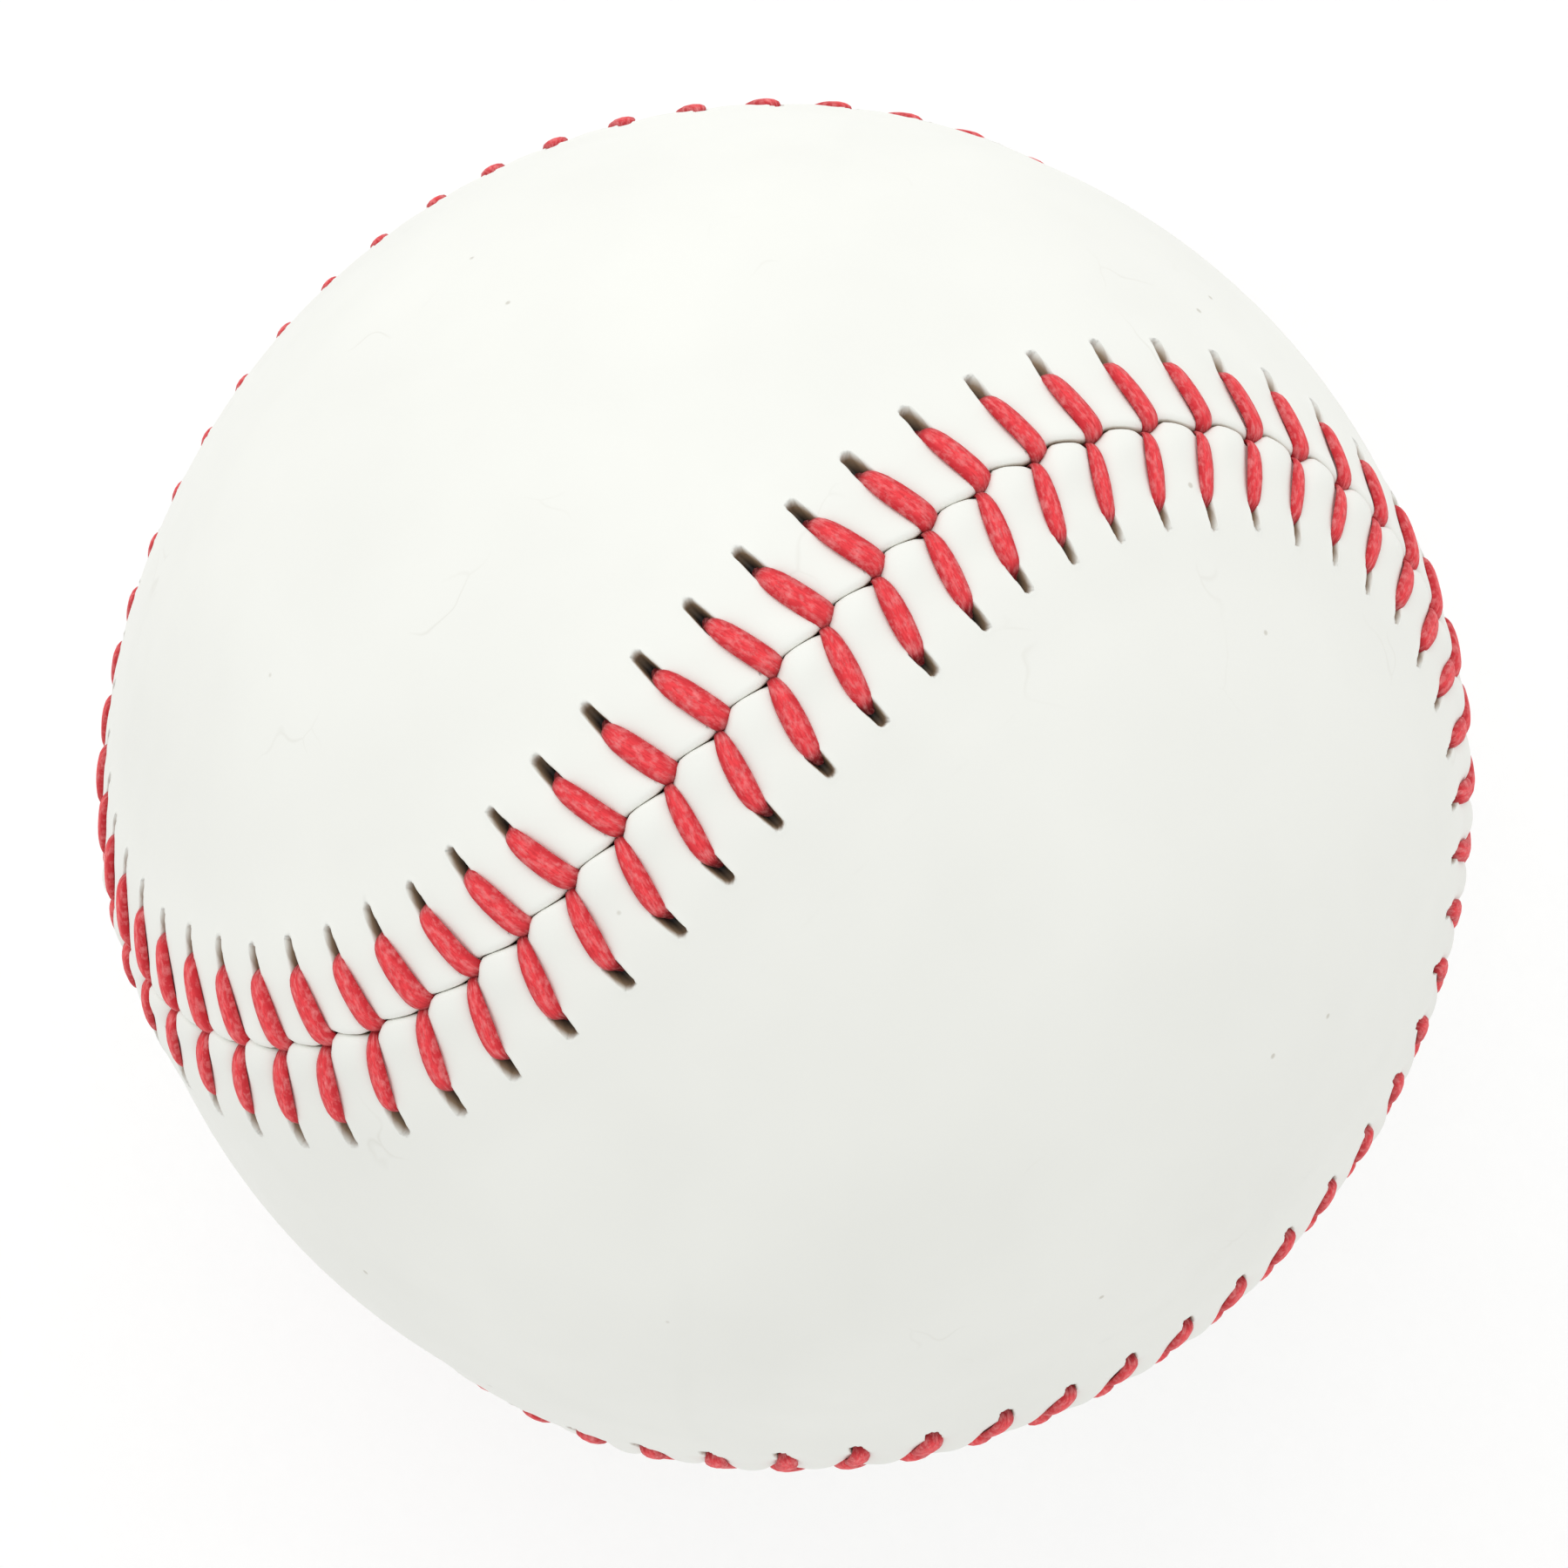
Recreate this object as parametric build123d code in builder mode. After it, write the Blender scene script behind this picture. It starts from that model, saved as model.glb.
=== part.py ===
"""Baseball: cushioned cork pill, four yarn windings, two figure-eight leather panels and a stitched seam.

The origin is the centre of the ball. Y runs through the waists of the two panels, X and Z run through
places where the seam crosses, and every one of these axes is a half-turn axis of the cover.
"""

from build123d import *
import math
import os

# Pill, millimetres
CORK_DIAMETER = 20.6
BLACK_RUBBER_WALL = 4.0
RED_RUBBER_WALL = 2.3
WASHER_THICKNESS = 0.8

# Windings and cover
FIRST_WIND_WALL = 14.15
SECOND_WIND_WALL = 1.7
THIRD_WIND_WALL = 2.2
FINISHING_WIND_WALL = 0.45
CEMENT_WALL = 0.15
LEATHER_WALL = 1.25
LAYER_FIT = 0.05

# Course of the seam, degrees: four wide turns round the waists, joined by stretches of great circle
WAIST_HALF_ANGLE = 26.6
TURN_RADIUS_ANGLE = 45.0

# Thread
STITCH_COUNT = 108
LEG_WIDTH_A = 1.4
LEG_WIDTH_B = 1.05
THREAD_NECK_WIDTH = 0.6
THREAD_THICKNESS = 0.45
THREAD_FIT = 0.05
STITCH_LEAD = 0.7
STRAND_SPACING = 0.8

# Needle slots and the lifted rim of a panel, measured from the seam
SLOT_DISTANCE = 3.8
SLOT_LENGTH = 1.8
SLOT_STAGGER = 0.52
SLOT_PHASE_SHARE = 0.5
RIM_MARGIN = 0.7
RIM_SLOPE_WIDTH = 2.6
CUT_OVERRUN = 0.3

# Radii, from the cork outwards
cork_radius = CORK_DIAMETER / 2
black_inner = cork_radius + LAYER_FIT
black_outer = black_inner + BLACK_RUBBER_WALL
red_inner = black_outer + LAYER_FIT
red_outer = red_inner + RED_RUBBER_WALL
first_inner = red_outer + LAYER_FIT
first_outer = first_inner + FIRST_WIND_WALL
second_inner = first_outer + LAYER_FIT
second_outer = second_inner + SECOND_WIND_WALL
third_inner = second_outer + LAYER_FIT
third_outer = third_inner + THIRD_WIND_WALL
finishing_inner = third_outer + LAYER_FIT
finishing_outer = finishing_inner + FINISHING_WIND_WALL
cement_inner = finishing_outer + LAYER_FIT
cement_outer = cement_inner + CEMENT_WALL
leather_inner = cement_outer + LAYER_FIT
leather_outer = leather_inner + LEATHER_WALL

# The thread that runs under a panel lifts its rim by its own thickness
seam_lift = THREAD_THICKNESS + 2 * THREAD_FIT
rim_inner = leather_inner + seam_lift
rim_outer = leather_outer + seam_lift
over_radius = rim_outer + THREAD_FIT + THREAD_THICKNESS / 2
under_radius = (cement_outer + rim_inner) / 2
seam_gap = THREAD_THICKNESS + 2 * THREAD_FIT
slot_width = THREAD_NECK_WIDTH + 2 * THREAD_FIT
slot_centre = SLOT_DISTANCE + SLOT_LENGTH / 2
thread_distance = SLOT_DISTANCE + THREAD_FIT + THREAD_THICKNESS / 2
rim_width = SLOT_DISTANCE + SLOT_LENGTH + RIM_MARGIN
rim_foot = rim_width + RIM_SLOPE_WIDTH
rim_skive = LEATHER_WALL / 2


class Stretch:
    """Part of the seam that one axis through the ball's centre turns out."""

    def __init__(self, start, outward, forward, axis, angle):
        self.start = start
        self.outward = outward
        self.forward = forward
        self.axis = Axis((0, 0, 0), axis)
        self.angle = angle
        self.length = math.radians(abs(angle)) * rim_outer * math.sin(math.radians(outward.get_angle(axis)))

    def frame(self, distance):
        """Outward and forward directions at a distance along the stretch."""
        turn = self.angle * distance / self.length
        return self.outward.rotate(self.axis, turn), self.forward.rotate(self.axis, turn)


def seam_stretches():
    """The seam from the Z axis round the ball: half a straight, then turn and straight by turns."""
    crossing, next_crossing, waist = Vector(0, 0, 1), Vector(1, 0, 0), Vector(0, 1, 0)
    lean = math.radians(WAIST_HALF_ANGLE + TURN_RADIUS_ANGLE)
    bisector = (crossing + next_crossing).normalized()
    centre = waist * math.cos(lean) + bisector * math.sin(lean)
    radius = math.radians(TURN_RADIUS_ANGLE)
    reach = math.radians(centre.get_angle(crossing))
    half_straight = math.degrees(math.acos(math.cos(reach) / math.cos(radius)))
    tangent_angle = math.asin(math.sin(radius) / math.sin(reach))
    to_centre = (centre - crossing * centre.dot(crossing)).normalized()
    forward = to_centre * math.cos(tangent_angle) + crossing.cross(to_centre) * math.sin(tangent_angle)
    to_waist = waist - centre * waist.dot(centre)
    to_crossing = crossing - centre * crossing.dot(centre)
    tangent_share = math.tan(radius) / math.tan(reach)
    half_turn = to_waist.get_angle(to_crossing) - math.degrees(math.acos(tangent_share))
    stretches = []
    start, outward = 0.0, crossing
    for quarter in range(4):
        hand = -1 if quarter % 2 == 0 else 1
        for kind in ("straight", "turn", "straight"):
            sideways = outward.cross(forward)
            axis, angle = sideways, half_straight
            if kind == "turn":
                axis = outward * math.cos(radius) + sideways * (hand * math.sin(radius))
                angle = hand * 2 * half_turn
            stretch = Stretch(start, outward, forward, axis, angle)
            stretches.append(stretch)
            start += stretch.length
            outward, forward = stretch.frame(stretch.length)
    return stretches


STRETCHES = seam_stretches()
seam_length = STRETCHES[-1].start + STRETCHES[-1].length
pitch = seam_length / STITCH_COUNT


def seam_frame(distance):
    """Outward, forward and sideways unit vectors of the seam; sideways points into panel A."""
    along = distance % seam_length
    stretch = [s for s in STRETCHES if s.start <= along][-1]
    outward, forward = stretch.frame(along - stretch.start)
    return outward, forward, outward.cross(forward)


def rim_point(offset, radius):
    """Point in a plane square to the seam: X into panel A, Y outwards at the seam."""
    angle = offset / rim_outer
    return (radius * math.sin(angle), radius * math.cos(angle))


def seam_place(distance, offset, radius):
    """Point at a distance along the seam, an offset into panel A or, below zero, panel B, and a radius."""
    outward, forward, sideways = seam_frame(distance)
    x, y = rim_point(offset, radius)
    return sideways * x + outward * y


def hollow_ball(inner, outer):
    """Closed shell between two radii."""
    with BuildPart() as ball:
        Sphere(outer)
        Sphere(inner, mode=Mode.SUBTRACT)
    return ball


def square_plane(stretch):
    """Plane square to the seam at the start of a stretch."""
    return Plane((0, 0, 0), x_dir=stretch.outward.cross(stretch.forward), z_dir=stretch.forward)


def panel_field():
    """Plain field of panel A, inside the foot of its rim, cut out of a hollow ball."""
    low = Vector(rim_point(rim_foot - rim_skive, leather_inner))
    high = Vector(rim_point(rim_foot, leather_outer))
    overrun = (high - low).normalized() * CUT_OVERRUN
    walls = []
    for stretch in STRETCHES:
        with BuildLine(square_plane(stretch)) as wall:
            Line(tuple(low - overrun), tuple(high + overrun))
        walls.append(Face.revolve(wall.edges()[0], stretch.angle, stretch.axis))
    pieces = hollow_ball(leather_inner, leather_outer).part.split(Shell(walls), keep=Keep.ALL)
    return pieces.sort_by_distance((0, leather_outer, 0))[0]


def panel_rim():
    """Lifted rim of panel A: one section, turned along every stretch of the seam."""
    edge_top = rim_point(seam_gap / 2, rim_outer)
    edge_low = rim_point(seam_gap / 2, rim_inner)
    crest_top = rim_point(rim_width, rim_outer)
    crest_low = rim_point(rim_width, rim_inner)
    foot_top = rim_point(rim_foot, leather_outer)
    foot_low = rim_point(rim_foot - rim_skive, leather_inner)
    with BuildPart() as rim:
        for stretch in STRETCHES:
            with BuildSketch(square_plane(stretch)):
                with BuildLine():
                    Line(edge_low, edge_top)
                    ThreePointArc(edge_top, rim_point(slot_centre, rim_outer), crest_top)
                    Polyline(crest_top, foot_top, foot_low, crest_low)
                    ThreePointArc(crest_low, rim_point(slot_centre, rim_inner), edge_low)
                make_face()
            revolve(axis=stretch.axis, revolution_arc=stretch.angle)
    return rim.part


def slot_planes():
    """Planes of panel A's needle slots, just outside its rim, X square to the seam."""
    planes = []
    for stitch in range(STITCH_COUNT):
        distance = slot_distance(stitch, 1)
        place = seam_place(distance, slot_centre, rim_outer + CUT_OVERRUN)
        forward = seam_frame(distance)[1]
        planes.append(Plane(place, x_dir=forward.cross(place), z_dir=place))
    return planes


def slot_distance(stitch, side):
    """Distance along the seam of a stitch's needle slot in panel A (side 1) or panel B (side -1)."""
    return (stitch + SLOT_PHASE_SHARE) * pitch + side * SLOT_STAGGER


def stitch_stations(stitch, side):
    """Thread places of one stitch, from under its needle slot over the rim and down through the seam.

    Each station is a point, the forward direction of the seam there and the width of the thread.
    """
    slot_at = slot_distance(stitch, side)
    dive_at = (stitch + SLOT_PHASE_SHARE) * pitch + STITCH_LEAD + side * STRAND_SPACING / 2
    leg_width = LEG_WIDTH_A if side > 0 else LEG_WIDTH_B
    under_run = math.hypot(thread_distance, pitch + SLOT_STAGGER - STITCH_LEAD + STRAND_SPACING / 2)
    chord_sag = under_run**2 / (8 * under_radius)
    low = under_radius + chord_sag / 2
    offset = side * thread_distance
    stations = [
        (slot_at, offset, low, THREAD_NECK_WIDTH),
        (slot_at, offset, over_radius, THREAD_NECK_WIDTH),
        ((slot_at + dive_at) / 2, offset / 2, over_radius, leg_width),
        (dive_at, 0, over_radius, THREAD_NECK_WIDTH),
        (dive_at, 0, low, THREAD_NECK_WIDTH),
    ]
    return [(seam_place(at, off, radius), seam_frame(at)[1], width) for at, off, radius, width in stations]


def thread_sections(first_side):
    """Corners of the thread's flattened hexagon at every station, mitred where the thread bends."""
    stations = []
    for stitch in range(STITCH_COUNT):
        stations += stitch_stations(stitch, first_side * (-1) ** stitch)
    places = [place for place, forward, width in stations]
    legs = [(after - before).normalized() for before, after in zip(places, places[1:])]
    sections = []
    for index, (place, forward, width) in enumerate(stations):
        arriving = legs[max(index - 1, 0)]
        leaving = legs[min(index, len(legs) - 1)]
        heading = (arriving + leaving).normalized()
        across = (forward - heading * forward.dot(heading)).normalized() * (width / 2)
        upward = heading.cross(across).normalized() * (THREAD_THICKNESS / 2 / heading.dot(leaving))
        half = [across, across / 2 + upward, across / -2 + upward]
        sections.append([place + corner for corner in half] + [place - corner for corner in half])
    return sections


def thread_strand(first_side):
    """One needle's thread, unbroken from stitch to stitch: ruled faces between its mitred sections."""
    sections = thread_sections(first_side)
    loops = [Wire.make_polygon(section) for section in sections]
    faces = [Face(loops[0]), Face(loops[-1])]
    for loop, next_loop in zip(loops, loops[1:]):
        for edge, next_edge in zip(loop.edges(), next_loop.edges()):
            faces.append(Face.make_surface_from_curves(edge, next_edge))
    with BuildPart() as strand:
        add(Solid(Shell(faces)))
    return strand


# Pill
with BuildPart() as cork_core:
    Sphere(cork_radius)

black_shell = hollow_ball(black_inner, black_outer)
washer_top = Plane.XY.offset(WASHER_THICKNESS / 2)
washer_bottom = Plane.XY.offset(-WASHER_THICKNESS / 2)

with BuildPart() as black_rubber_upper:
    add(black_shell.part)
    split(bisect_by=washer_top, keep=Keep.TOP)

with BuildPart() as black_rubber_lower:
    add(black_shell.part)
    split(bisect_by=washer_bottom, keep=Keep.BOTTOM)

with BuildPart() as rubber_washer:
    add(black_shell.part)
    split(bisect_by=washer_top, keep=Keep.BOTTOM)
    split(bisect_by=washer_bottom, keep=Keep.TOP)

red_rubber_jacket = hollow_ball(red_inner, red_outer)

# Windings and the cement that bonds the cover to them
first_wind = hollow_ball(first_inner, first_outer)
second_wind = hollow_ball(second_inner, second_outer)
third_wind = hollow_ball(third_inner, third_outer)
finishing_wind = hollow_ball(finishing_inner, finishing_outer)
cement_coat = hollow_ball(cement_inner, cement_outer)

# Cover: two equal panels, half a turn apart about Z, and the thread that draws them together
field = panel_field()
rim = panel_rim()
needle_planes = slot_planes()

with BuildPart() as cover_panel_a:
    add(field)
    add(rim)
    with BuildSketch(*needle_planes):
        SlotOverall(SLOT_LENGTH, slot_width)
    extrude(amount=-LEATHER_WALL - 2 * CUT_OVERRUN, mode=Mode.SUBTRACT)

with BuildPart() as cover_panel_b:
    add(cover_panel_a.part, rotation=(0, 0, 180))

thread_strand_a = thread_strand(1)
thread_strand_b = thread_strand(-1)

PIECES = {
    "cork_core": cork_core,
    "black_rubber_upper": black_rubber_upper,
    "black_rubber_lower": black_rubber_lower,
    "rubber_washer": rubber_washer,
    "red_rubber_jacket": red_rubber_jacket,
    "first_wind": first_wind,
    "second_wind": second_wind,
    "third_wind": third_wind,
    "finishing_wind": finishing_wind,
    "cement_coat": cement_coat,
    "cover_panel_a": cover_panel_a,
    "cover_panel_b": cover_panel_b,
    "thread_strand_a": thread_strand_a,
    "thread_strand_b": thread_strand_b,
}

os.makedirs("parts", exist_ok=True)
for label, piece in PIECES.items():
    piece.part.label = label
    export_step(piece.part, f"parts/{label}.step")
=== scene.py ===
"""Looks of a stitched leather ball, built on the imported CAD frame, and the studio it is seen in.

Sizes in the classes below are in millimetres, and meshes are made in metres.
"""

import logging
import math
from dataclasses import dataclass, field
from enum import Enum

import bpy
import numpy as np
from mathutils import Matrix, Vector
from mathutils.geometry import delaunay_2d_cdt


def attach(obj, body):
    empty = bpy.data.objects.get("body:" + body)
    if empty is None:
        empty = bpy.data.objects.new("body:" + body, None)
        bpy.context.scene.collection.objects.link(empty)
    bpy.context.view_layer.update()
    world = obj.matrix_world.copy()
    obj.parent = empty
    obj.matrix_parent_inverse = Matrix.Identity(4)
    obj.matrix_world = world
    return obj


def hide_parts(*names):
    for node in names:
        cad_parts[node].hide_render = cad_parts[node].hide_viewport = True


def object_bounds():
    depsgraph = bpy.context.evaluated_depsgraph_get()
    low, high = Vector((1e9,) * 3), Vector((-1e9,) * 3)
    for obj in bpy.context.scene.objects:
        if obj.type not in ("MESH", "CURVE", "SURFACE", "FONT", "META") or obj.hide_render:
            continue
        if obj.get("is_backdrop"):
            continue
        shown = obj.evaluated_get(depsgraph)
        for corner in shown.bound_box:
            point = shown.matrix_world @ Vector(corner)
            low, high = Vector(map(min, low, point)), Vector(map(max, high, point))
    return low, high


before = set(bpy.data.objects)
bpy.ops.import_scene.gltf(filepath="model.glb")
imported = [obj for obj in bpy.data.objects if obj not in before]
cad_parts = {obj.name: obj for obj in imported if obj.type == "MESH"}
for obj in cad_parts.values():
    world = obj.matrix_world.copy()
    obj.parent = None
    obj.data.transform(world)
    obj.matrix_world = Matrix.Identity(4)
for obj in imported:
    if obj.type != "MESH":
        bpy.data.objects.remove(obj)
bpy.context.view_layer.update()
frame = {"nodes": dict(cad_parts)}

MM = 0.001

# How a line's points store a column of values, by its kind of number and its dimensions.
STORED = {
    ("i", 1): ("INT", "value", np.int32),
    ("f", 1): ("FLOAT", "value", np.float32),
    ("f", 2): ("FLOAT_VECTOR", "vector", np.float32),
}

log = logging.getLogger("ball")


class Side(Enum):
    """The panel that a leg of thread or a row of slots lies on, by its sign across the seam."""

    A = 1
    B = -1

    @property
    def row(self) -> int:
        """Row of this side in the tables of differences from stitch to stitch."""
        return 0 if self is Side.A else 1

    @property
    def other(self) -> "Side":
        """The panel across the seam."""
        return Side.B if self is Side.A else Side.A


def linear(hex_code: str) -> tuple[float, float, float, float]:
    """Turn an sRGB hex code into the linear colour that shaders take.

    Args:
        hex_code: Six hex digits with a leading hash mark.

    Returns:
        The linear red, green, blue and an alpha of one.
    """
    parts = [int(hex_code[i : i + 2], 16) / 255 for i in (1, 3, 5)]
    red, green, blue = [c / 12.92 if c <= 0.04045 else ((c + 0.055) / 1.055) ** 2.4 for c in parts]
    return red, green, blue, 1.0


def feed(node: bpy.types.Node, inputs: dict) -> None:
    """Set the inputs of a node.

    Args:
        node: The node.
        inputs: Input name or number to a plain value, to the socket that feeds it, or to a node,
            which stands for the first of its outputs in use.
    """
    for key, value in inputs.items():
        if isinstance(value, bpy.types.Node):
            value = next(output for output in value.outputs if output.enabled)
        if isinstance(value, bpy.types.NodeSocket):
            node.id_data.links.new(value, node.inputs[key])
        else:
            node.inputs[key].default_value = value


def add(tree: bpy.types.NodeTree, kind: str, inputs: dict | None = None, **settings) -> bpy.types.Node:
    """Add one node to a tree, with its settings and its inputs.

    Args:
        tree: The node tree that the node goes into.
        kind: The node's type name.
        inputs: What feed takes.
        **settings: Node properties such as operation or data_type.

    Returns:
        The new node.
    """
    node = tree.nodes.new(kind)
    for name, value in settings.items():
        setattr(node, name, value)
    feed(node, inputs or {})
    return node


def new_finish(name: str) -> tuple[bpy.types.Material, bpy.types.NodeTree, bpy.types.Node]:
    """Start a node material.

    Args:
        name: The material's name.

    Returns:
        The material, its node tree and the shader in it.
    """
    made = bpy.data.materials.new(name)
    made.use_nodes = True
    return made, made.node_tree, made.node_tree.nodes["Principled BSDF"]


def smoothstep(low: float, high: float, x: np.ndarray) -> np.ndarray:
    """Ease from 0 at low to 1 at high.

    Args:
        low: Where the ease starts.
        high: Where the ease ends.
        x: The values to ease.

    Returns:
        The eased values, between 0 and 1.
    """
    t = np.clip((x - low) / (high - low), 0, 1)
    return t * t * (3 - 2 * t)


def unit(vectors: np.ndarray) -> np.ndarray:
    """Scale vectors to unit length.

    Args:
        vectors: One vector, or rows of them.

    Returns:
        The same directions with a length of one.
    """
    return vectors / np.linalg.norm(vectors, axis=-1, keepdims=True)


def turned(vector: np.ndarray, axis: np.ndarray, angles: np.ndarray) -> np.ndarray:
    """Turn a vector about an axis by each of several angles.

    Args:
        vector: The vector to turn.
        axis: A unit axis.
        angles: The angles in radians.

    Returns:
        One turned vector per angle.
    """
    c = np.cos(angles)[:, None]
    s = np.sin(angles)[:, None]
    along = axis * (vector @ axis)
    return along + (vector - along) * c + np.cross(axis, vector) * s


def sweep_tree(name: str, sizes: dict[str, str]) -> bpy.types.NodeTree:
    """Start a Geometry Nodes tree that takes a line, its sizes and a material.

    Args:
        name: The tree's name.
        sizes: Name of each size to the kind of its socket.

    Returns:
        The tree.
    """
    tree = bpy.data.node_groups.new(name, "GeometryNodeTree")
    for label, kind in {"Geometry": "Geometry", **sizes, "Material": "Material"}.items():
        tree.interface.new_socket(label, in_out="INPUT", socket_type="NodeSocket" + kind)
    tree.interface.new_socket("Geometry", in_out="OUTPUT", socket_type="NodeSocketGeometry")
    return tree


def end_sweep(tree: bpy.types.NodeTree, shape: bpy.types.Node, material: bpy.types.NodeSocket) -> None:
    """End a Geometry Nodes tree: smooth its shape, make it one plain mesh and dress it.

    Args:
        tree: The tree.
        shape: The node that gives the shape.
        material: The tree's material input.
    """
    smooth = add(tree, "GeometryNodeSetShadeSmooth", {0: shape})
    whole = add(tree, "GeometryNodeRealizeInstances", {0: smooth})
    dressed = add(tree, "GeometryNodeSetMaterial", {0: whole, "Material": material})
    add(tree, "NodeGroupOutput", {0: dressed})


def swept_mesh(
    points: np.ndarray, closed: bool, carried: dict[str, np.ndarray], tree: bpy.types.NodeTree, values: dict
) -> bpy.types.Mesh:
    """Run a line of points through a Geometry Nodes tree and keep the plain mesh.

    Args:
        points: The points of the line.
        closed: Whether the last point joins the first.
        carried: What the points carry, by the name of the attribute that the tree reads.
        tree: The Geometry Nodes tree.
        values: The tree's named inputs.

    Returns:
        The mesh that the tree makes.
    """
    count = len(points)
    edges = [(i, (i + 1) % count) for i in range(count if closed else count - 1)]
    line = bpy.data.meshes.new("line")
    line.from_pydata((points * MM).tolist(), edges, [])
    for name, column in carried.items():
        kind, key, number = STORED[column.dtype.kind, column.ndim]
        line.attributes.new(name, kind, "POINT").data.foreach_set(key, column.astype(number).ravel())
    carrier = bpy.data.objects.new("line", line)
    bpy.context.scene.collection.objects.link(carrier)
    sweep = carrier.modifiers.new("sweep", "NODES")
    sweep.node_group = tree
    for item in tree.interface.items_tree:
        if item.in_out == "INPUT" and item.name in values:
            sweep[item.identifier] = values[item.name]
    graph = bpy.context.evaluated_depsgraph_get()
    mesh = bpy.data.meshes.new_from_object(carrier.evaluated_get(graph))
    bpy.data.objects.remove(carrier)
    # A round that the tree makes by itself brings an empty material slot.
    for slot in reversed(range(len(mesh.materials))):
        if mesh.materials[slot] is None:
            mesh.materials.pop(index=slot)
    return mesh


def placed(mesh: bpy.types.Mesh, name: str, node: str) -> bpy.types.Object:
    """Make a finished piece of a mesh and let it stand for a CAD node.

    Args:
        mesh: The finished mesh.
        name: The name of the piece.
        node: The CAD node that it stands for.

    Returns:
        The piece.
    """
    mesh.name = name
    piece = bpy.data.objects.new(name, mesh)
    bpy.context.scene.collection.objects.link(piece)
    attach(piece, "root")
    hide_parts(node)
    log.info("built %s with %d faces", name, len(mesh.polygons))
    return piece


@dataclass(frozen=True)
class Stretch:
    """One arc of the seam: a straight run on a great circle or a turn on a small one."""

    start: float
    length: float
    angle: float
    axis: np.ndarray
    outward: np.ndarray
    forward: np.ndarray


@dataclass
class SeamCourse:
    """The closed line that the two panels share, and where the stitches stand along it."""

    rim_radius: float = 37.45
    waist_half_angle: float = 26.6
    turn_radius_angle: float = 45.0
    stitch_count: int = 108
    slot_phase_share: float = 0.5
    slot_stagger: float = 0.52
    stitch_lead: float = 0.7
    # The visible gap: a step aside after each junction, which the next tongue takes back.
    step_height: float = 0.55
    step_run: float = 1.2
    step_ease: tuple[float, float] = (-0.1, 1.15)
    tongue_run: float = 1.06
    tongue_bend: float = 0.85
    # Its width, and how open its edges stand, which sets their raw cut and painted shade, at places from
    # one junction to the next, as shares of the pitch.
    shut_share: float = 0.55
    least_open_share: float = 0.5
    wedge_share: float = 0.8
    gap_widths: tuple[float, ...] = (0.24, 0.3, 0.06, 0.01, 0.05, 0.28)
    gap_open_and_shade: tuple[float, ...] = (1.0, 0.6, 0.22, 0.6, 1.0)
    # Differences from stitch to stitch.
    press_spread: float = 0.18
    swell_spread: float = 0.3
    step_spread: float = 0.3
    slot_end_spread: float = 0.16
    breadth_spread: float = 0.07
    sway_spread: float = 0.1
    # One stretch of slack sewing, by its place along the seam.
    slack_middle: float = 33.0
    slack_reach: float = 19.0
    slack_core: float = 0.5
    slack_gap: float = 0.05
    slack_openness: float = 0.42
    seed: int = 11
    stretches: list[Stretch] = field(default_factory=list)

    def __post_init__(self) -> None:
        """Work out the arcs, the pitch and the small differences from stitch to stitch."""
        crossing = np.array((0.0, 0.0, 1.0))
        following = np.array((1.0, 0.0, 0.0))
        waist = np.array((0.0, 1.0, 0.0))
        radius = math.radians(self.turn_radius_angle)
        lean = math.radians(self.waist_half_angle) + radius
        centre = waist * math.cos(lean) + unit(crossing + following) * math.sin(lean)
        reach = math.acos(centre @ crossing)
        half_straight = math.acos(math.cos(reach) / math.cos(radius))
        tangent = math.asin(math.sin(radius) / math.sin(reach))
        to_centre = unit(centre - crossing * (centre @ crossing))
        forward = to_centre * math.cos(tangent) + np.cross(crossing, to_centre) * math.sin(tangent)
        to_waist = unit(waist - centre * (waist @ centre))
        to_crossing = unit(crossing - centre * (crossing @ centre))
        half_turn = math.acos(to_waist @ to_crossing) - math.acos(math.tan(radius) / math.tan(reach))
        outward = crossing
        start = 0.0
        for quarter in range(4):
            hand = 1 if quarter % 2 else -1
            for turning in (False, True, False):
                sideways = np.cross(outward, forward)
                axis = sideways
                angle = half_straight
                if turning:
                    axis = outward * math.cos(radius) + sideways * hand * math.sin(radius)
                    angle = hand * 2 * half_turn
                off_axis = math.acos(np.clip(outward @ axis, -1, 1))
                length = abs(angle) * self.rim_radius * math.sin(off_axis)
                self.stretches.append(Stretch(start, length, angle, axis, outward, forward))
                start += length
                outward = turned(outward, axis, np.array([angle]))[0]
                forward = turned(forward, axis, np.array([angle]))[0]
        self.length = start
        self.pitch = start / self.stitch_count
        draw = np.random.default_rng(self.seed)
        each = self.stitch_count
        self.press = 1 + self.press_spread * draw.uniform(-1, 1, each)
        self.swell = 1 + self.swell_spread * draw.uniform(-1, 1, each)
        self.step = 1 + self.step_spread * draw.uniform(-1, 1, each)
        self.slot_end = self.slot_end_spread * draw.uniform(-1, 1, (2, each))
        self.breadth = 1 + self.breadth_spread * draw.uniform(-1, 1, (2, each))
        self.sway = self.sway_spread * draw.uniform(-1, 1, (2, each))

    def frames(self, along: np.ndarray) -> tuple[np.ndarray, np.ndarray]:
        """Give the seam's outward and sideways directions at distances along it.

        Args:
            along: Distances along the seam.

        Returns:
            Unit outward directions and unit directions across the seam, into panel A.
        """
        wrapped = np.mod(along, self.length)
        outward = np.zeros((len(wrapped), 3))
        forward = np.zeros((len(wrapped), 3))
        for run in self.stretches:
            inside = (wrapped >= run.start) & (wrapped <= run.start + run.length)
            turn = run.angle * (wrapped[inside] - run.start) / run.length
            outward[inside] = turned(run.outward, run.axis, turn)
            forward[inside] = turned(run.forward, run.axis, turn)
        return unit(outward), unit(np.cross(outward, forward))

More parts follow.
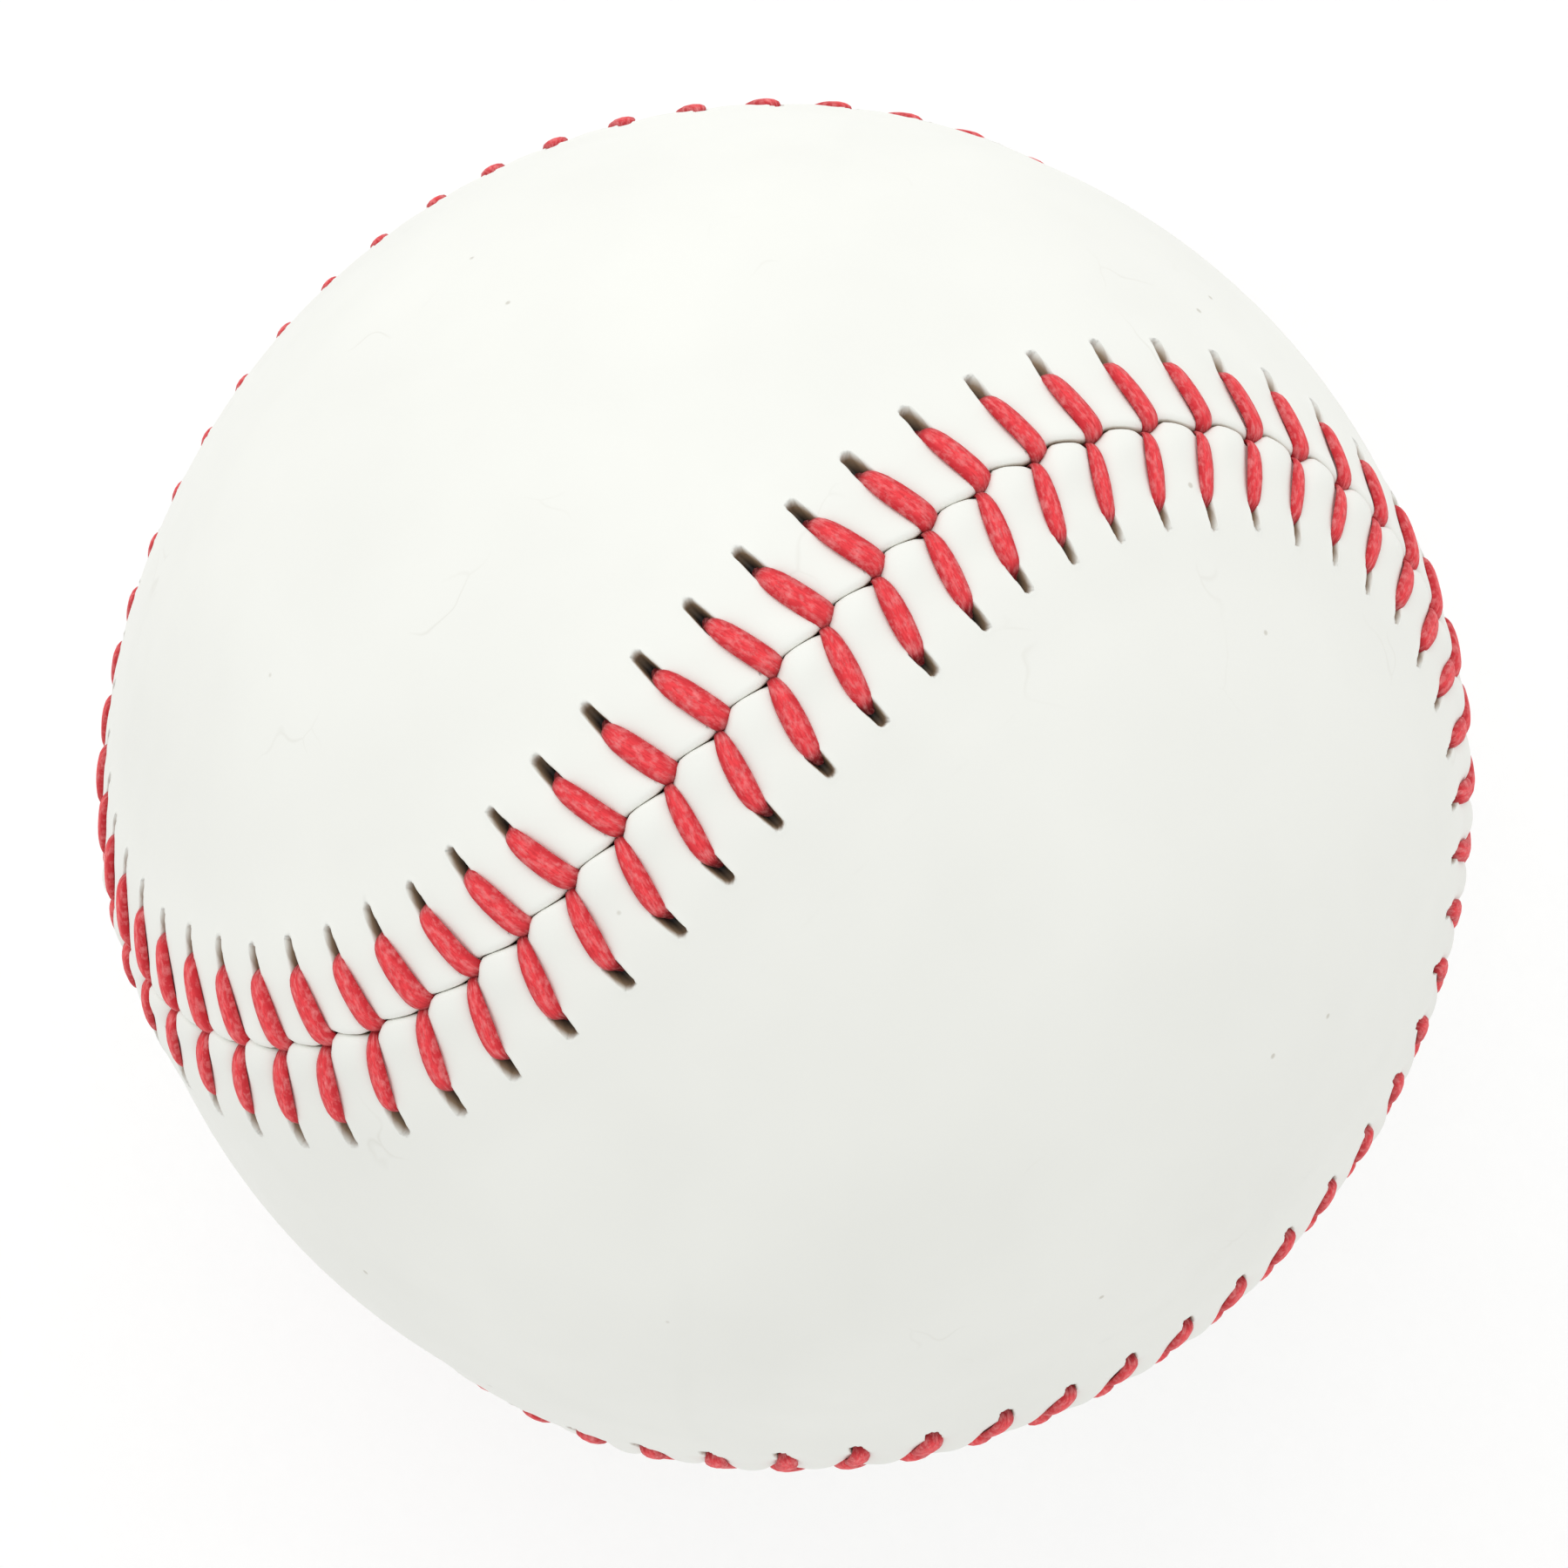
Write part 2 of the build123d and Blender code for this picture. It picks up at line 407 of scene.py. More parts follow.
    def points(self, along: np.ndarray, across: np.ndarray, radius: np.ndarray) -> np.ndarray:
        """Place points by distance along the seam, distance across it and radius.

        Args:
            along: Distances along the seam.
            across: Distances from the seam, positive into panel A.
            radius: Distances from the ball's centre.

        Returns:
            One position per entry.
        """
        outward, sideways = self.frames(along)
        tilt = (across / self.rim_radius)[:, None]
        return (sideways * np.sin(tilt) + outward * np.cos(tilt)) * radius[:, None]

    def slot_along(self, stitch: np.ndarray, side: Side) -> np.ndarray:
        """Give the distance along the seam at which slots stand.

        Args:
            stitch: Stitch numbers.
            side: The panel that the slots are in.

        Returns:
            One distance per stitch.
        """
        return (stitch + self.slot_phase_share) * self.pitch + side.value * self.slot_stagger

    def junction_along(self, stitch: np.ndarray) -> np.ndarray:
        """Give the distance along the seam at which the two legs of a stitch meet.

        Args:
            stitch: Stitch numbers.

        Returns:
            One distance per stitch.
        """
        return (stitch + self.slot_phase_share) * self.pitch + self.stitch_lead

    def from_junction(self, along: np.ndarray) -> tuple[np.ndarray, np.ndarray]:
        """Measure from the last junction passed.

        Args:
            along: Distances along the seam.

        Returns:
            Distances past that junction, and its stitch number.
        """
        past = along - self.junction_along(np.zeros(1))
        return np.mod(past, self.pitch), np.floor(past / self.pitch).astype(int) % self.stitch_count

    def slackness(self, along: np.ndarray) -> np.ndarray:
        """Give how slack the sewing is: one stretch, on a bend, was drawn up less than the rest.

        Args:
            along: Distances along the seam.

        Returns:
            Shares between 0 and 1.
        """
        half = self.length / 2
        away = np.abs(np.mod(along - self.slack_middle + half, self.length) - half)
        return 1 - smoothstep(self.slack_core * self.slack_reach, self.slack_reach, away)

    def gap_width(self, along: np.ndarray) -> np.ndarray:
        """Give how far the two edges stand apart: a wedge before each junction, then nearly shut.

        Args:
            along: Distances along the seam.

        Returns:
            The width of the gap.
        """
        past, stitch = self.from_junction(along)
        knots = [0.0, self.step_run / 2, self.step_run]
        knots += [share * self.pitch for share in (self.shut_share, self.wedge_share, 1.0)]
        width = np.interp(past, knots, self.gap_widths) * self.step[stitch]
        return width + self.slack_gap * self.slackness(along)

    def gap_openness(self, along: np.ndarray) -> np.ndarray:
        """Give how open the edges look, which sets their rounding, raw cut and painted shade: most at a
        junction, least halfway between.

        Args:
            along: Distances along the seam.

        Returns:
            Shares between 0 and 1.
        """
        past, _ = self.from_junction(along)
        knots = [0.0, self.step_run]
        knots += [share * self.pitch for share in (self.least_open_share, self.wedge_share, 1.0)]
        # Where the edges stand open, their foot is painted near black as shade over the tan raw cut.
        drawn_up = np.interp(past, knots, self.gap_open_and_shade)
        return np.maximum(drawn_up, self.slack_openness * self.slackness(along))

    def gap_line(self, along: np.ndarray) -> np.ndarray:
        """Give how far the visible gap steps aside into panel A, tongue by tongue.

        Args:
            along: Distances along the seam.

        Returns:
            The offset across the seam.
        """
        past, stitch = self.from_junction(along)
        begin, end = self.step_ease
        rise = smoothstep(begin * self.step_run, end * self.step_run, past)
        fall = 1 - smoothstep(self.step_run, self.tongue_run * self.pitch, past) ** self.tongue_bend
        return self.step_height * rise * fall * self.step[stitch]


@dataclass(frozen=True)
class Leg:
    """The line of one visible leg of thread, and what it does to the leather on its side.

    Its points are given as distance past the junction and distance from the seam.
    """

    slot_point: tuple[float, float]
    seam_point: tuple[float, float]
    half_breadth: float
    press_at_seam: float
    press_at_slot: float
    slot_far: float
    tongue_swell: float
    edge_radius: float
    slack_narrowing: float


LEGS = {
    Side.A: Leg(
        slot_point=(-0.18, 4.2),
        seam_point=(0.52, 0.35),
        half_breadth=0.68,
        press_at_seam=0.3,
        press_at_slot=0.2,
        slot_far=6.0,
        tongue_swell=0.24,
        edge_radius=0.55,
        slack_narrowing=0.1,
    ),
    Side.B: Leg(
        slot_point=(-1.22, 3.9),
        seam_point=(-0.04, 0.1),
        half_breadth=0.58,
        press_at_seam=0.27,
        press_at_slot=0.19,
        slot_far=5.62,
        tongue_swell=0.36,
        edge_radius=0.48,
        slack_narrowing=0.22,
    ),
}


@dataclass(frozen=True)
class LeatherFinish:
    """Alum-tanned white cowhide: an even matt white with pores, faint marks and brown raw cuts, painted
    near black as shade deep in its slots and seam gap.
    """

    grain: str = "#F7F8F3"
    grain_low: str = "#F3F4EF"
    mark: str = "#D9D7CE"
    raw_edge: str = "#A08A72"
    cut_shade: str = "#0E0705"
    roughness: float = 0.52
    mottle_size: float = 14.0
    speck_spacing: float = 4.2
    hair_spacing: float = 11.0
    hair_bend_size: float = 7.0
    hair_patch_size: float = 9.0
    pore_size: float = 0.34
    crease_size: float = 2.4
    relief: float = 0.03

    def material(self) -> bpy.types.Material:
        """Build the leather's node material.

        Returns:
            The material, which reads the mesh's cut_and_shade attribute for raw edges and for the painted
            shade of slots and the seam gap.
        """
        made, tree, shader = new_finish("white_alum_tanned_cowhide")
        place = add(tree, "ShaderNodeTexCoord").outputs["Object"]
        # Broad mottling: the hide takes the tan a little unevenly.
        scale = 1 / (self.mottle_size * MM)
        mottle = add(tree, "ShaderNodeTexNoise", {"Vector": place, "Scale": scale, "Detail": 3.0})
        tone = add(tree, "ShaderNodeMapRange", {0: mottle, 1: 0.35, 2: 0.7})
        grains = {0: tone, 6: linear(self.grain), 7: linear(self.grain_low)}
        hide = add(tree, "ShaderNodeMix", grains, data_type="RGBA")
        # Scattered specks: a few grey points a third of a millimetre across.
        scale = 1 / (self.speck_spacing * MM)
        cells = add(tree, "ShaderNodeTexVoronoi", {"Vector": place, "Scale": scale})
        dot = add(tree, "ShaderNodeMapRange", {0: cells, 1: 0.03, 2: 0.05, 3: 1.0, 4: 0.0})
        chance = add(tree, "ShaderNodeSeparateColor", {0: cells.outputs["Color"]})
        few = add(tree, "ShaderNodeMath", {0: chance, 1: 0.8}, operation="GREATER_THAN")
        speck = add(tree, "ShaderNodeMath", {0: dot, 1: few}, operation="MULTIPLY")
        # Hair lines: short curved follicle lines that a white hide keeps here and there.
        scale = 1 / (self.hair_bend_size * MM)
        bend = add(tree, "ShaderNodeTexNoise", {"Vector": place, "Scale": scale, "Detail": 2.0})
        bends = {0: 0.012, 4: place, 5: bend.outputs["Color"]}
        bent = add(tree, "ShaderNodeMix", bends, data_type="VECTOR")
        scale = 1 / (self.hair_spacing * MM)
        net = {"Vector": bent, "Scale": scale}
        lines = add(tree, "ShaderNodeTexVoronoi", net, feature="DISTANCE_TO_EDGE")
        line = add(tree, "ShaderNodeMapRange", {0: lines, 1: 0.0, 2: 0.012, 3: 1.0, 4: 0.0})
        scale = 1 / (self.hair_patch_size * MM)
        patch = add(tree, "ShaderNodeTexNoise", {"Vector": place, "Scale": scale, "Detail": 1.0})
        here = add(tree, "ShaderNodeMapRange", {0: patch, 1: 0.64, 2: 0.72, 3: 0.0, 4: 0.3})
        hair = add(tree, "ShaderNodeMath", {0: line, 1: here}, operation="MULTIPLY")
        marks = add(tree, "ShaderNodeMath", {0: speck, 1: hair}, operation="MAXIMUM")
        # Raw cuts: tan fibre at the lip of a slot or edge; further in, painted shade, near black, where it
        # closes in.
        cut_and_shade = add(tree, "ShaderNodeAttribute", attribute_name="cut_and_shade").outputs["Fac"]
        lip = add(tree, "ShaderNodeMapRange", {0: cut_and_shade, 1: 0.05, 2: 0.4})
        # Painted shade: shares above 0.4 darken the raw edge to near black.
        deep = add(tree, "ShaderNodeMapRange", {0: cut_and_shade, 1: 0.4, 2: 0.9})
        for share, colour in ((marks, self.mark), (lip, self.raw_edge), (deep, self.cut_shade)):
            hide = add(tree, "ShaderNodeMix", {0: share, 6: hide, 7: linear(colour)}, data_type="RGBA")
        # Pores: a fine shallow pebble, which is only felt as a slight break in the sheen.
        pebble = {"Vector": place, "Scale": 1 / (self.pore_size * MM), "Smoothness": 0.6}
        pores = add(tree, "ShaderNodeTexVoronoi", pebble, feature="SMOOTH_F1")
        scale = 1 / (self.crease_size * MM)
        crease = add(tree, "ShaderNodeTexNoise", {"Vector": place, "Scale": scale, "Detail": 4.0})
        height = add(tree, "ShaderNodeMath", {0: pores, 1: 0.45, 2: crease}, operation="MULTIPLY_ADD")
        bump = {"Strength": 0.35, "Distance": self.relief * MM, "Height": height}
        dull = {0: crease, 1: 0.3, 2: 0.7, 3: self.roughness - 0.06, 4: self.roughness + 0.08}
        finish = {
            "Base Color": hide,
            "Normal": add(tree, "ShaderNodeBump", bump),
            "Roughness": add(tree, "ShaderNodeMapRange", dull),
            "Specular IOR Level": 0.35,
        }
        feed(shader, finish)
        return made


@dataclass
class CoverPanel:
    """One figure-eight leather panel with its raised rim, puckered edge and pierced slots."""

    seam: SeamCourse
    side: Side
    node: str
    leather_radius: float = 36.9
    wall: float = 1.25
    seam_lift: float = 0.55
    lift_start: float = 3.2
    lift_end: float = 9.2
    # Slots, with the eases of their pits and of their painted shade and raw cut over the rim of the slot.
    slot_near: float = 3.75
    slot_half_width: float = 0.39
    slot_round: float = 0.29
    slot_depth: float = 0.95
    slot_shut: float = 0.18
    slot_taper: float = 0.3
    slot_taper_middle: float = 0.25
    slot_lip: float = 0.05
    slot_lip_run: float = 0.22
    pit_ease: tuple[float, float] = (-0.1, 0.03)
    cut_ease: tuple[float, float] = (-0.13, 0.07)
    slot_paling: float = 0.6
    paling_power: float = 3.0
    # The raw edge, row by row from its foot: tan raw cut at the lip, and painted shade, near black, at the
    # foot where the seam stands open.
    edge_middle: float = 0.62
    edge_cut_and_shade: tuple[float, ...] = (1.0, 0.9, 0.45, 0.12)
    slack_cuts: tuple[float, ...] = (0.42, 0.4, 0.38, 0.24)
    edge_fade: float = 3.4
    corner_rows: int = 5
    least_rounding: float = 0.45
    flesh_cut: float = 0.3
    # What the drawn thread does to the leather.
    groove_breadth: float = 1.05
    swell_clear: float = 0.9
    swell_middle: float = 0.7
    swell_run: float = 1.25
    # The net of the field, and the band's columns round a slot and rows from the edge.
    field_spacing: float = 1.7
    field_row_share: float = 0.866
    field_clear_share: float = 0.62
    merge_angle: float = 1e-7
    coarse_step: int = 6
    ring_row: int = 18
    half_columns: tuple[float, ...] = (0.16, 0.29, 0.36, 0.43, 0.54, 0.78, 1.14, 1.5)
    last_column: float = 1.85
    row_distances: tuple[float, ...] = (
        0.5, 0.7, 0.95, 1.25, 1.6, 2.0, 2.4, 2.8, 3.15, 3.42, 3.58, 3.68, 3.78, 3.92, 4.15, 4.45, 4.8,
        5.1, 5.36, 5.52, 5.64, 5.76, 5.88, 6.0, 6.12, 6.3, 6.8, 7.6, 8.6, 9.8,
    )

    def leg_distance(self, along: np.ndarray, away: np.ndarray) -> tuple[np.ndarray, np.ndarray]:
        """Measure how far points of this panel lie from the nearest leg of thread.

        Args:
            along: Distances along the seam.
            away: Distances from the seam into this panel.

        Returns:
            The distance to the leg, and the share of the way from seam to slot at which it is met.
        """
        leg = LEGS[self.side]
        past, _ = self.seam.from_junction(along)
        first = np.array(leg.seam_point)
        line = np.array(leg.slot_point) - first
        best = np.full(along.shape, np.inf)
        share = np.zeros(along.shape)
        for shift in (0.0, -self.seam.pitch):
            x = past + shift - first[0]
            y = away - first[1]
            t = np.clip((x * line[0] + y * line[1]) / (line @ line), 0, 1)
            distance = np.hypot(x - t * line[0], y - t * line[1])
            nearer = distance < best
            best = np.where(nearer, distance, best)
            share = np.where(nearer, t, share)
        return best, share

    def rim_height(self, away: np.ndarray) -> np.ndarray:
        """Give the height of the leather over the winding's round, before any pucker.

        Args:
            away: Distances from the seam.

        Returns:
            Heights above the plain leather radius.
        """
        return self.seam_lift * (1 - smoothstep(self.lift_start, self.lift_end, away))

    def rows(self, openness: np.ndarray, slack: np.ndarray) -> tuple[np.ndarray, np.ndarray, np.ndarray]:
        """Lay out the band's rows, from the foot of the raw edge over its corner and on.

        Args:
            openness: How open the seam is at each column.
            slack: How slack the sewing is there, which bares the tan edge.

        Returns:
            Distance from the edge, drop below the top and share of raw cut and painted shade, by row and
            column.
        """
        turns = np.linspace(0, math.pi / 2, self.corner_rows)[:, None]
        share = self.least_rounding + (1 - self.least_rounding) * openness
        rounding = LEGS[self.side].edge_radius * share
        wall = np.ones_like(openness) * np.array([[self.wall], [self.edge_middle]])
        beyond = np.ones_like(openness) * np.array(self.row_distances)[:, None]
        away = np.concatenate([wall * 0, (1 - np.cos(turns)) * rounding, beyond])
        drop = np.concatenate([wall, (1 - np.sin(turns)) * rounding, beyond * 0])
        cut_and_shade = np.zeros(away.shape)
        # Painted shade at the foot of an open edge; a slack stretch bares only the tan raw edge.
        open_edge_shade = np.array(self.edge_cut_and_shade)[:, None] * openness
        bared = np.array(self.slack_cuts)[:, None] * slack
        cut_and_shade[: len(self.edge_cut_and_shade)] = np.maximum(open_edge_shade, bared)
        return away, drop, cut_and_shade

    def pucker(self, along: np.ndarray, reach: np.ndarray) -> np.ndarray:
        """Give what the drawn thread does to the leather: a groove under each leg, a swell between.

        Args:
            along: Distances along the seam.
            reach: Distances from the seam into this panel.

        Returns:
            Heights to add to the rim.
        """
        leg = LEGS[self.side]
        distance, share = self.leg_distance(along, reach)
        _, stitch = self.seam.from_junction(along)
        depth = leg.press_at_seam + (leg.press_at_slot - leg.press_at_seam) * share
        groove = depth * np.exp(-((distance / (leg.half_breadth * self.groove_breadth)) ** 2))
        clear = 1 - np.exp(-((distance / self.swell_clear) ** 2))
        near_edge = np.exp(-(((reach - self.swell_middle) / self.swell_run) ** 2))
        swell = leg.tongue_swell * clear * near_edge
        return swell * self.seam.swell[stitch] - groove * self.seam.press[stitch]

    def slot_distance(
        self, offsets: np.ndarray, stitch: np.ndarray, reach: np.ndarray
    ) -> tuple[np.ndarray, np.ndarray]:
        """Measure how far points lie outside the rim of their stitch's slot.

        Args:
            offsets: Distances of the columns from their slot's middle line.
            stitch: Stitch numbers of the columns.
            reach: Distances from the seam into this panel.

        Returns:
            Distances, below zero inside a slot, and shares of the way along it from the seam.
        """
        far = LEGS[self.side].slot_far + self.seam.slot_end[self.side.row][stitch]
        out = np.clip((reach - self.slot_near) / (far - self.slot_near), 0, 1)
        slack = self.seam.slackness(self.seam.slot_along(stitch, self.side))
        taper = 1 + self.slot_taper * (self.slot_taper_middle - out)
        half = self.slot_half_width * taper * (1 - self.slot_shut * slack)
        x = np.abs(offsets) - (half - self.slot_round)
        y = np.abs(reach - (self.slot_near + far) / 2) - ((far - self.slot_near) / 2 - self.slot_round)
        corner = np.hypot(np.maximum(x, 0), np.maximum(y, 0))
        return corner + np.minimum(np.maximum(x, y), 0) - self.slot_round, out

    def grid(self) -> tuple[np.ndarray, np.ndarray]:
        """Build the band along the seam, from the foot of the edge out to the field.

        Returns:
            Positions by row and column, and the cut_and_shade attribute of each: raw cut and painted shade.
        """
        half = self.half_columns
        each = [*(-offset for offset in reversed(half)), 0.0, *half, self.last_column]
        stitch = np.repeat(np.arange(self.seam.stitch_count), len(each))
        offsets = np.tile(each, self.seam.stitch_count)
        columns = self.seam.slot_along(stitch, self.side) + offsets
        slack = self.seam.slackness(columns)
        away, drop, cut_and_shade = self.rows(self.seam.gap_openness(columns), slack)
        along = np.broadcast_to(columns, away.shape)
        edge = self.side.value * self.seam.gap_line(columns) + self.seam.gap_width(columns) / 2
        reach = away + edge * (1 - smoothstep(0, self.edge_fade, away))
        slot, out = self.slot_distance(offsets, stitch, reach)
        # The floor of a slot is drawn flat and deep, and its cut rim stands up a little.
        pit = self.slot_depth * (1 - smoothstep(*self.pit_ease, slot))
        lip = self.slot_lip * np.exp(-((slot / self.slot_lip_run) ** 2))
        height = self.rim_height(reach) + self.pucker(along, reach) + lip - pit - drop
        # Inside a slot the colour is painted shade, near black by the thread, paling to the tan raw cut at
        # the far tip.
        paling = self.slot_paling * out ** (self.paling_power - slack)
        cut_and_shade = np.maximum(cut_and_shade, (1 - smoothstep(*self.cut_ease, slot)) * (1 - paling))
        radius = self.leather_radius + height
        across = self.side.value * reach
        places = self.seam.points(along.ravel(), across.ravel(), radius.ravel())
        return places.reshape(*along.shape, 3), cut_and_shade

    def chart(self) -> np.ndarray:
        """Give the axes in which this panel unrolls without a cut.

        Returns:
            Rows: the middle of the waist, the way along the panel and the way across it.
        """
        sign = float(self.side.value)
        middle = np.array((0.0, sign, 0.0))
        along = unit(np.array((1.0, 0.0, -sign)))
        return np.array((middle, along, np.cross(middle, along)))

    def field_points(self, ring: np.ndarray) -> np.ndarray:
        """Spread points evenly over the chart, inside the border and a little clear of it.

        Args:
            ring: The border's places in the chart, in seam order.

        Returns:
            The points' places in the chart.
        """
        step = self.field_spacing / self.leather_radius
        low = ring.min(axis=0)
        high = ring.max(axis=0)
        found = []
        for number, row in enumerate(np.arange(low[1], high[1], step * self.field_row_share)):
            x = np.arange(low[0] + 0.5 * step * (number % 2), high[0], step)
            found.append(np.stack([x, np.full(len(x), row)], axis=1))
        loose = np.concatenate(found)
        # A point is inside if a line from it crosses the border an odd number of times.
        after = np.roll(ring, -1, axis=0)
        crossed = (ring[None, :, 1] > loose[:, None, 1]) != (after[None, :, 1] > loose[:, None, 1])
        rise = after[:, 1] - ring[:, 1]
        rise = np.where(rise == 0, np.inf, rise)
        at = ring[:, 0] + (loose[:, None, 1] - ring[:, 1]) / rise * (after[:, 0] - ring[:, 0])
        inside = (crossed & (loose[:, None, 0] < at)).sum(axis=1) % 2 == 1
        nearest = np.linalg.norm(loose[:, None] - ring[None], axis=2).min(axis=1)
        return loose[inside & (nearest > self.field_clear_share * step)]

    def field_mesh(self, border: np.ndarray) -> tuple[np.ndarray, list[tuple[int, ...]]]:
        """Fill the panel inside its band with an even net of triangles.

        Args:
            border: Positions of the band's inner border, in seam order.

        Returns:
            Unit directions of the added points, and faces over border points then added points.
        """
        axes = self.chart()
        spread = unit(border) @ axes.T
        ring = np.stack([np.arctan2(spread[:, 1], spread[:, 0]), np.arcsin(spread[:, 2])], axis=1)
        loose = self.field_points(ring)
        order = list(range(len(ring)))
        if self.side is Side.B:
            order.reverse()
        flat = [Vector(p) for p in np.concatenate([ring, loose])]
        _, _, faces, origin, _, _ = delaunay_2d_cdt(flat, [], [order], 1, self.merge_angle)
        net = [tuple(origin[i][0] for i in face) for face in faces]
        around, aside = loose.T
        local = [np.cos(aside) * np.cos(around), np.cos(aside) * np.sin(around), np.sin(aside)]
        return np.stack(local, axis=1) @ axes, net

    def band_faces(self, row_count: int, columns: int) -> list[tuple[int, ...]]:
        """List the faces of the band, wound for panel A.

        Args:
            row_count: How many rows the band has.
            columns: How many points a row has.

        Returns:
            Four point numbers per face.
        """
        faces = []
        for start in range(0, (row_count - 1) * columns, columns):
            for column in range(columns):
                here = start + column
                after = start + (column + 1) % columns
                faces.append((here, after, after + columns, here + columns))
        return faces

    def widened(self, face: list[int], last: int, columns: int) -> tuple[int, ...]:
        """Add the band's finer border points to a field face that lies on the border.

        Args:
            face: The face's point numbers.
            last: The first point number of the band's last row.
            columns: How many points the band's rows have.

        Returns:
            The face with every band point on its border edges.
        """
        step = self.coarse_step
        full: list[int] = []
        for here, after in zip(face, face[1:] + face[:1]):
            full.append(here)
            if not (last <= here < last + columns and last <= after < last + columns):
                continue
            for way in (1, -1):
                if way * (after - here) % columns == step:
                    full += [last + (here - last + way * j) % columns for j in range(1, step)]
        return tuple(full)

    def build(self, leather: bpy.types.Material) -> bpy.types.Object:
        """Make the closed panel and let it stand for its CAD node.

        Args:
            leather: The material of the panel.

        Returns:
            The finished piece.
        """
        band, cut_and_shade = self.grid()
        row_count, columns = band.shape[:2]
        step = self.coarse_step
        border = band[-1, ::step]
        count = len(border)
        inner_radius = self.leather_radius - self.wall
        directions, net = self.field_mesh(border)
        blocks = [
            band.reshape(-1, 3),
            directions * self.leather_radius,
            unit(band[self.ring_row, ::step]) * (inner_radius + self.seam_lift),
            unit(border) * inner_radius,
            directions * inner_radius,
        ]
        _, field_at, ring_at, under_at, _, end = np.cumsum([0] + [len(b) for b in blocks]).tolist()
        points = np.concatenate(blocks)
        faces = self.band_faces(row_count, columns)
        for i in range(count):
            after = (i + 1) % count
            foot = [(i * step + j) % columns for j in range(step + 1)]
            faces.append((*reversed(foot), ring_at + i, ring_at + after))
            faces.append((ring_at + after, ring_at + i, under_at + i, under_at + after))
        if self.side is Side.B:
            faces = [tuple(reversed(face)) for face in faces]
        last = (row_count - 1) * columns
        outer = [last + i * step for i in range(count)] + list(range(field_at, ring_at))
        inner = list(range(under_at, end))
        for face in net:
            faces.append(self.widened([outer[i] for i in face], last, columns))
            faces.append(tuple(inner[i] for i in reversed(face)))
        mesh = bpy.data.meshes.new(self.node + "_leather")
        mesh.from_pydata((points * MM).tolist(), [], faces)
        shade = np.zeros(len(points), np.float32)
        shade[: cut_and_shade.size] = cut_and_shade.ravel()
        shade[ring_at:] = self.flesh_cut
        mesh.attributes.new("cut_and_shade", "FLOAT", "POINT").data.foreach_set("value", shade)
        mesh.shade_smooth()
        mesh.materials.append(leather)
        mesh.update()
        return placed(mesh, self.node + "_leather", self.node)


@dataclass(frozen=True)
class ThreadFinish:
    """Waxed red cotton: bright coral red with lengthwise fibre, pale flecks that are partly painted
    highlight, painted shade on its flanks and where it goes down, and a soft nap.

    Its patterns are counted per millimetre along the thread and per half breadth across it.
    """

    red: str = "#F6454C"
    deep_red: str = "#C4222D"
    sunk_shade_red: str = "#981B24"
    fleck_and_highlight: str = "#FDA6A6"
    roughness: float = 0.62
    relief: float = 0.05
    streaks: tuple[float, float] = (1.7, 5.0)
    blooms: tuple[float, float] = (1.6, 2.0)

    def material(self) -> bpy.types.Material:
        """Build the thread's node material.

        Returns:
            The material, which reads the strand's UV map and its sunk_shade attribute, painted shade where
            the thread goes down.
        """
        made, tree, shader = new_finish("red_waxed_cotton_thread")
        place = add(tree, "ShaderNodeUVMap", uv_map="UVMap").outputs[0]
        # Fibre streaks: about ten to the thread's breadth, coarser than real fibre so that they show.
        drawn = add(tree, "ShaderNodeMapping", {"Vector": place, "Scale": (*self.streaks, 1.0)})
        fibre = {"Vector": drawn, "Scale": 1.0, "Detail": 3.0, "Roughness": 0.6}
        fibres = add(tree, "ShaderNodeTexNoise", fibre)
        streak = add(tree, "ShaderNodeMapRange", {0: fibres, 1: 0.32, 2: 0.58, 3: 0.66, 4: 0.0})
        reds = {0: streak, 6: linear(self.red), 7: linear(self.deep_red)}
        dye = add(tree, "ShaderNodeMix", reds, data_type="RGBA")
        # Flanks: painted shade, the red darkened towards the thread's two edges, where it rounds down to
        # the leather.
        parts = add(tree, "ShaderNodeSeparateXYZ", {0: place})
        off_middle = add(tree, "ShaderNodeMath", {0: parts.outputs[1]}, operation="ABSOLUTE")
        flank_shade = add(tree, "ShaderNodeMapRange", {0: off_middle, 1: 0.35, 2: 0.95, 3: 0.0, 4: 0.9})
        # Ends: painted shade, a darker red where the thread goes down into a slot or the seam.
        sunk_shade = add(tree, "ShaderNodeAttribute", attribute_name="sunk_shade").outputs["Fac"]
        # Wax bloom and painted highlight: soft pale patches about half a millimetre long, and fine loose
        # fibre ends, which also stand in for light catching the thread.
        patches = add(tree, "ShaderNodeMapping", {"Vector": place, "Scale": (*self.blooms, 1.0)})
        wax = {"Vector": patches, "Scale": 1.0, "Detail": 4.0, "Roughness": 0.65}
        bloom = add(tree, "ShaderNodeTexNoise", wax)
        pale_bloom_and_highlight = add(tree, "ShaderNodeMapRange", {0: bloom, 1: 0.46, 2: 0.76, 3: 0.0, 4: 0.65})
        for share, colour in ((flank_shade, self.deep_red), (sunk_shade, self.sunk_shade_red), (pale_bloom_and_highlight, self.fleck_and_highlight)):
            dye = add(tree, "ShaderNodeMix", {0: share, 6: dye, 7: linear(colour)}, data_type="RGBA")
        nap = {"Strength": 0.6, "Distance": self.relief * MM, "Height": fibres}
        finish = {
            "Base Color": dye,
            "Normal": add(tree, "ShaderNodeBump", nap),
            "Roughness": self.roughness,
            "Specular IOR Level": 0.22,
            "Sheen Weight": 0.05,
            "Sheen Roughness": 0.5,
        }
        feed(shader, finish)
        return made


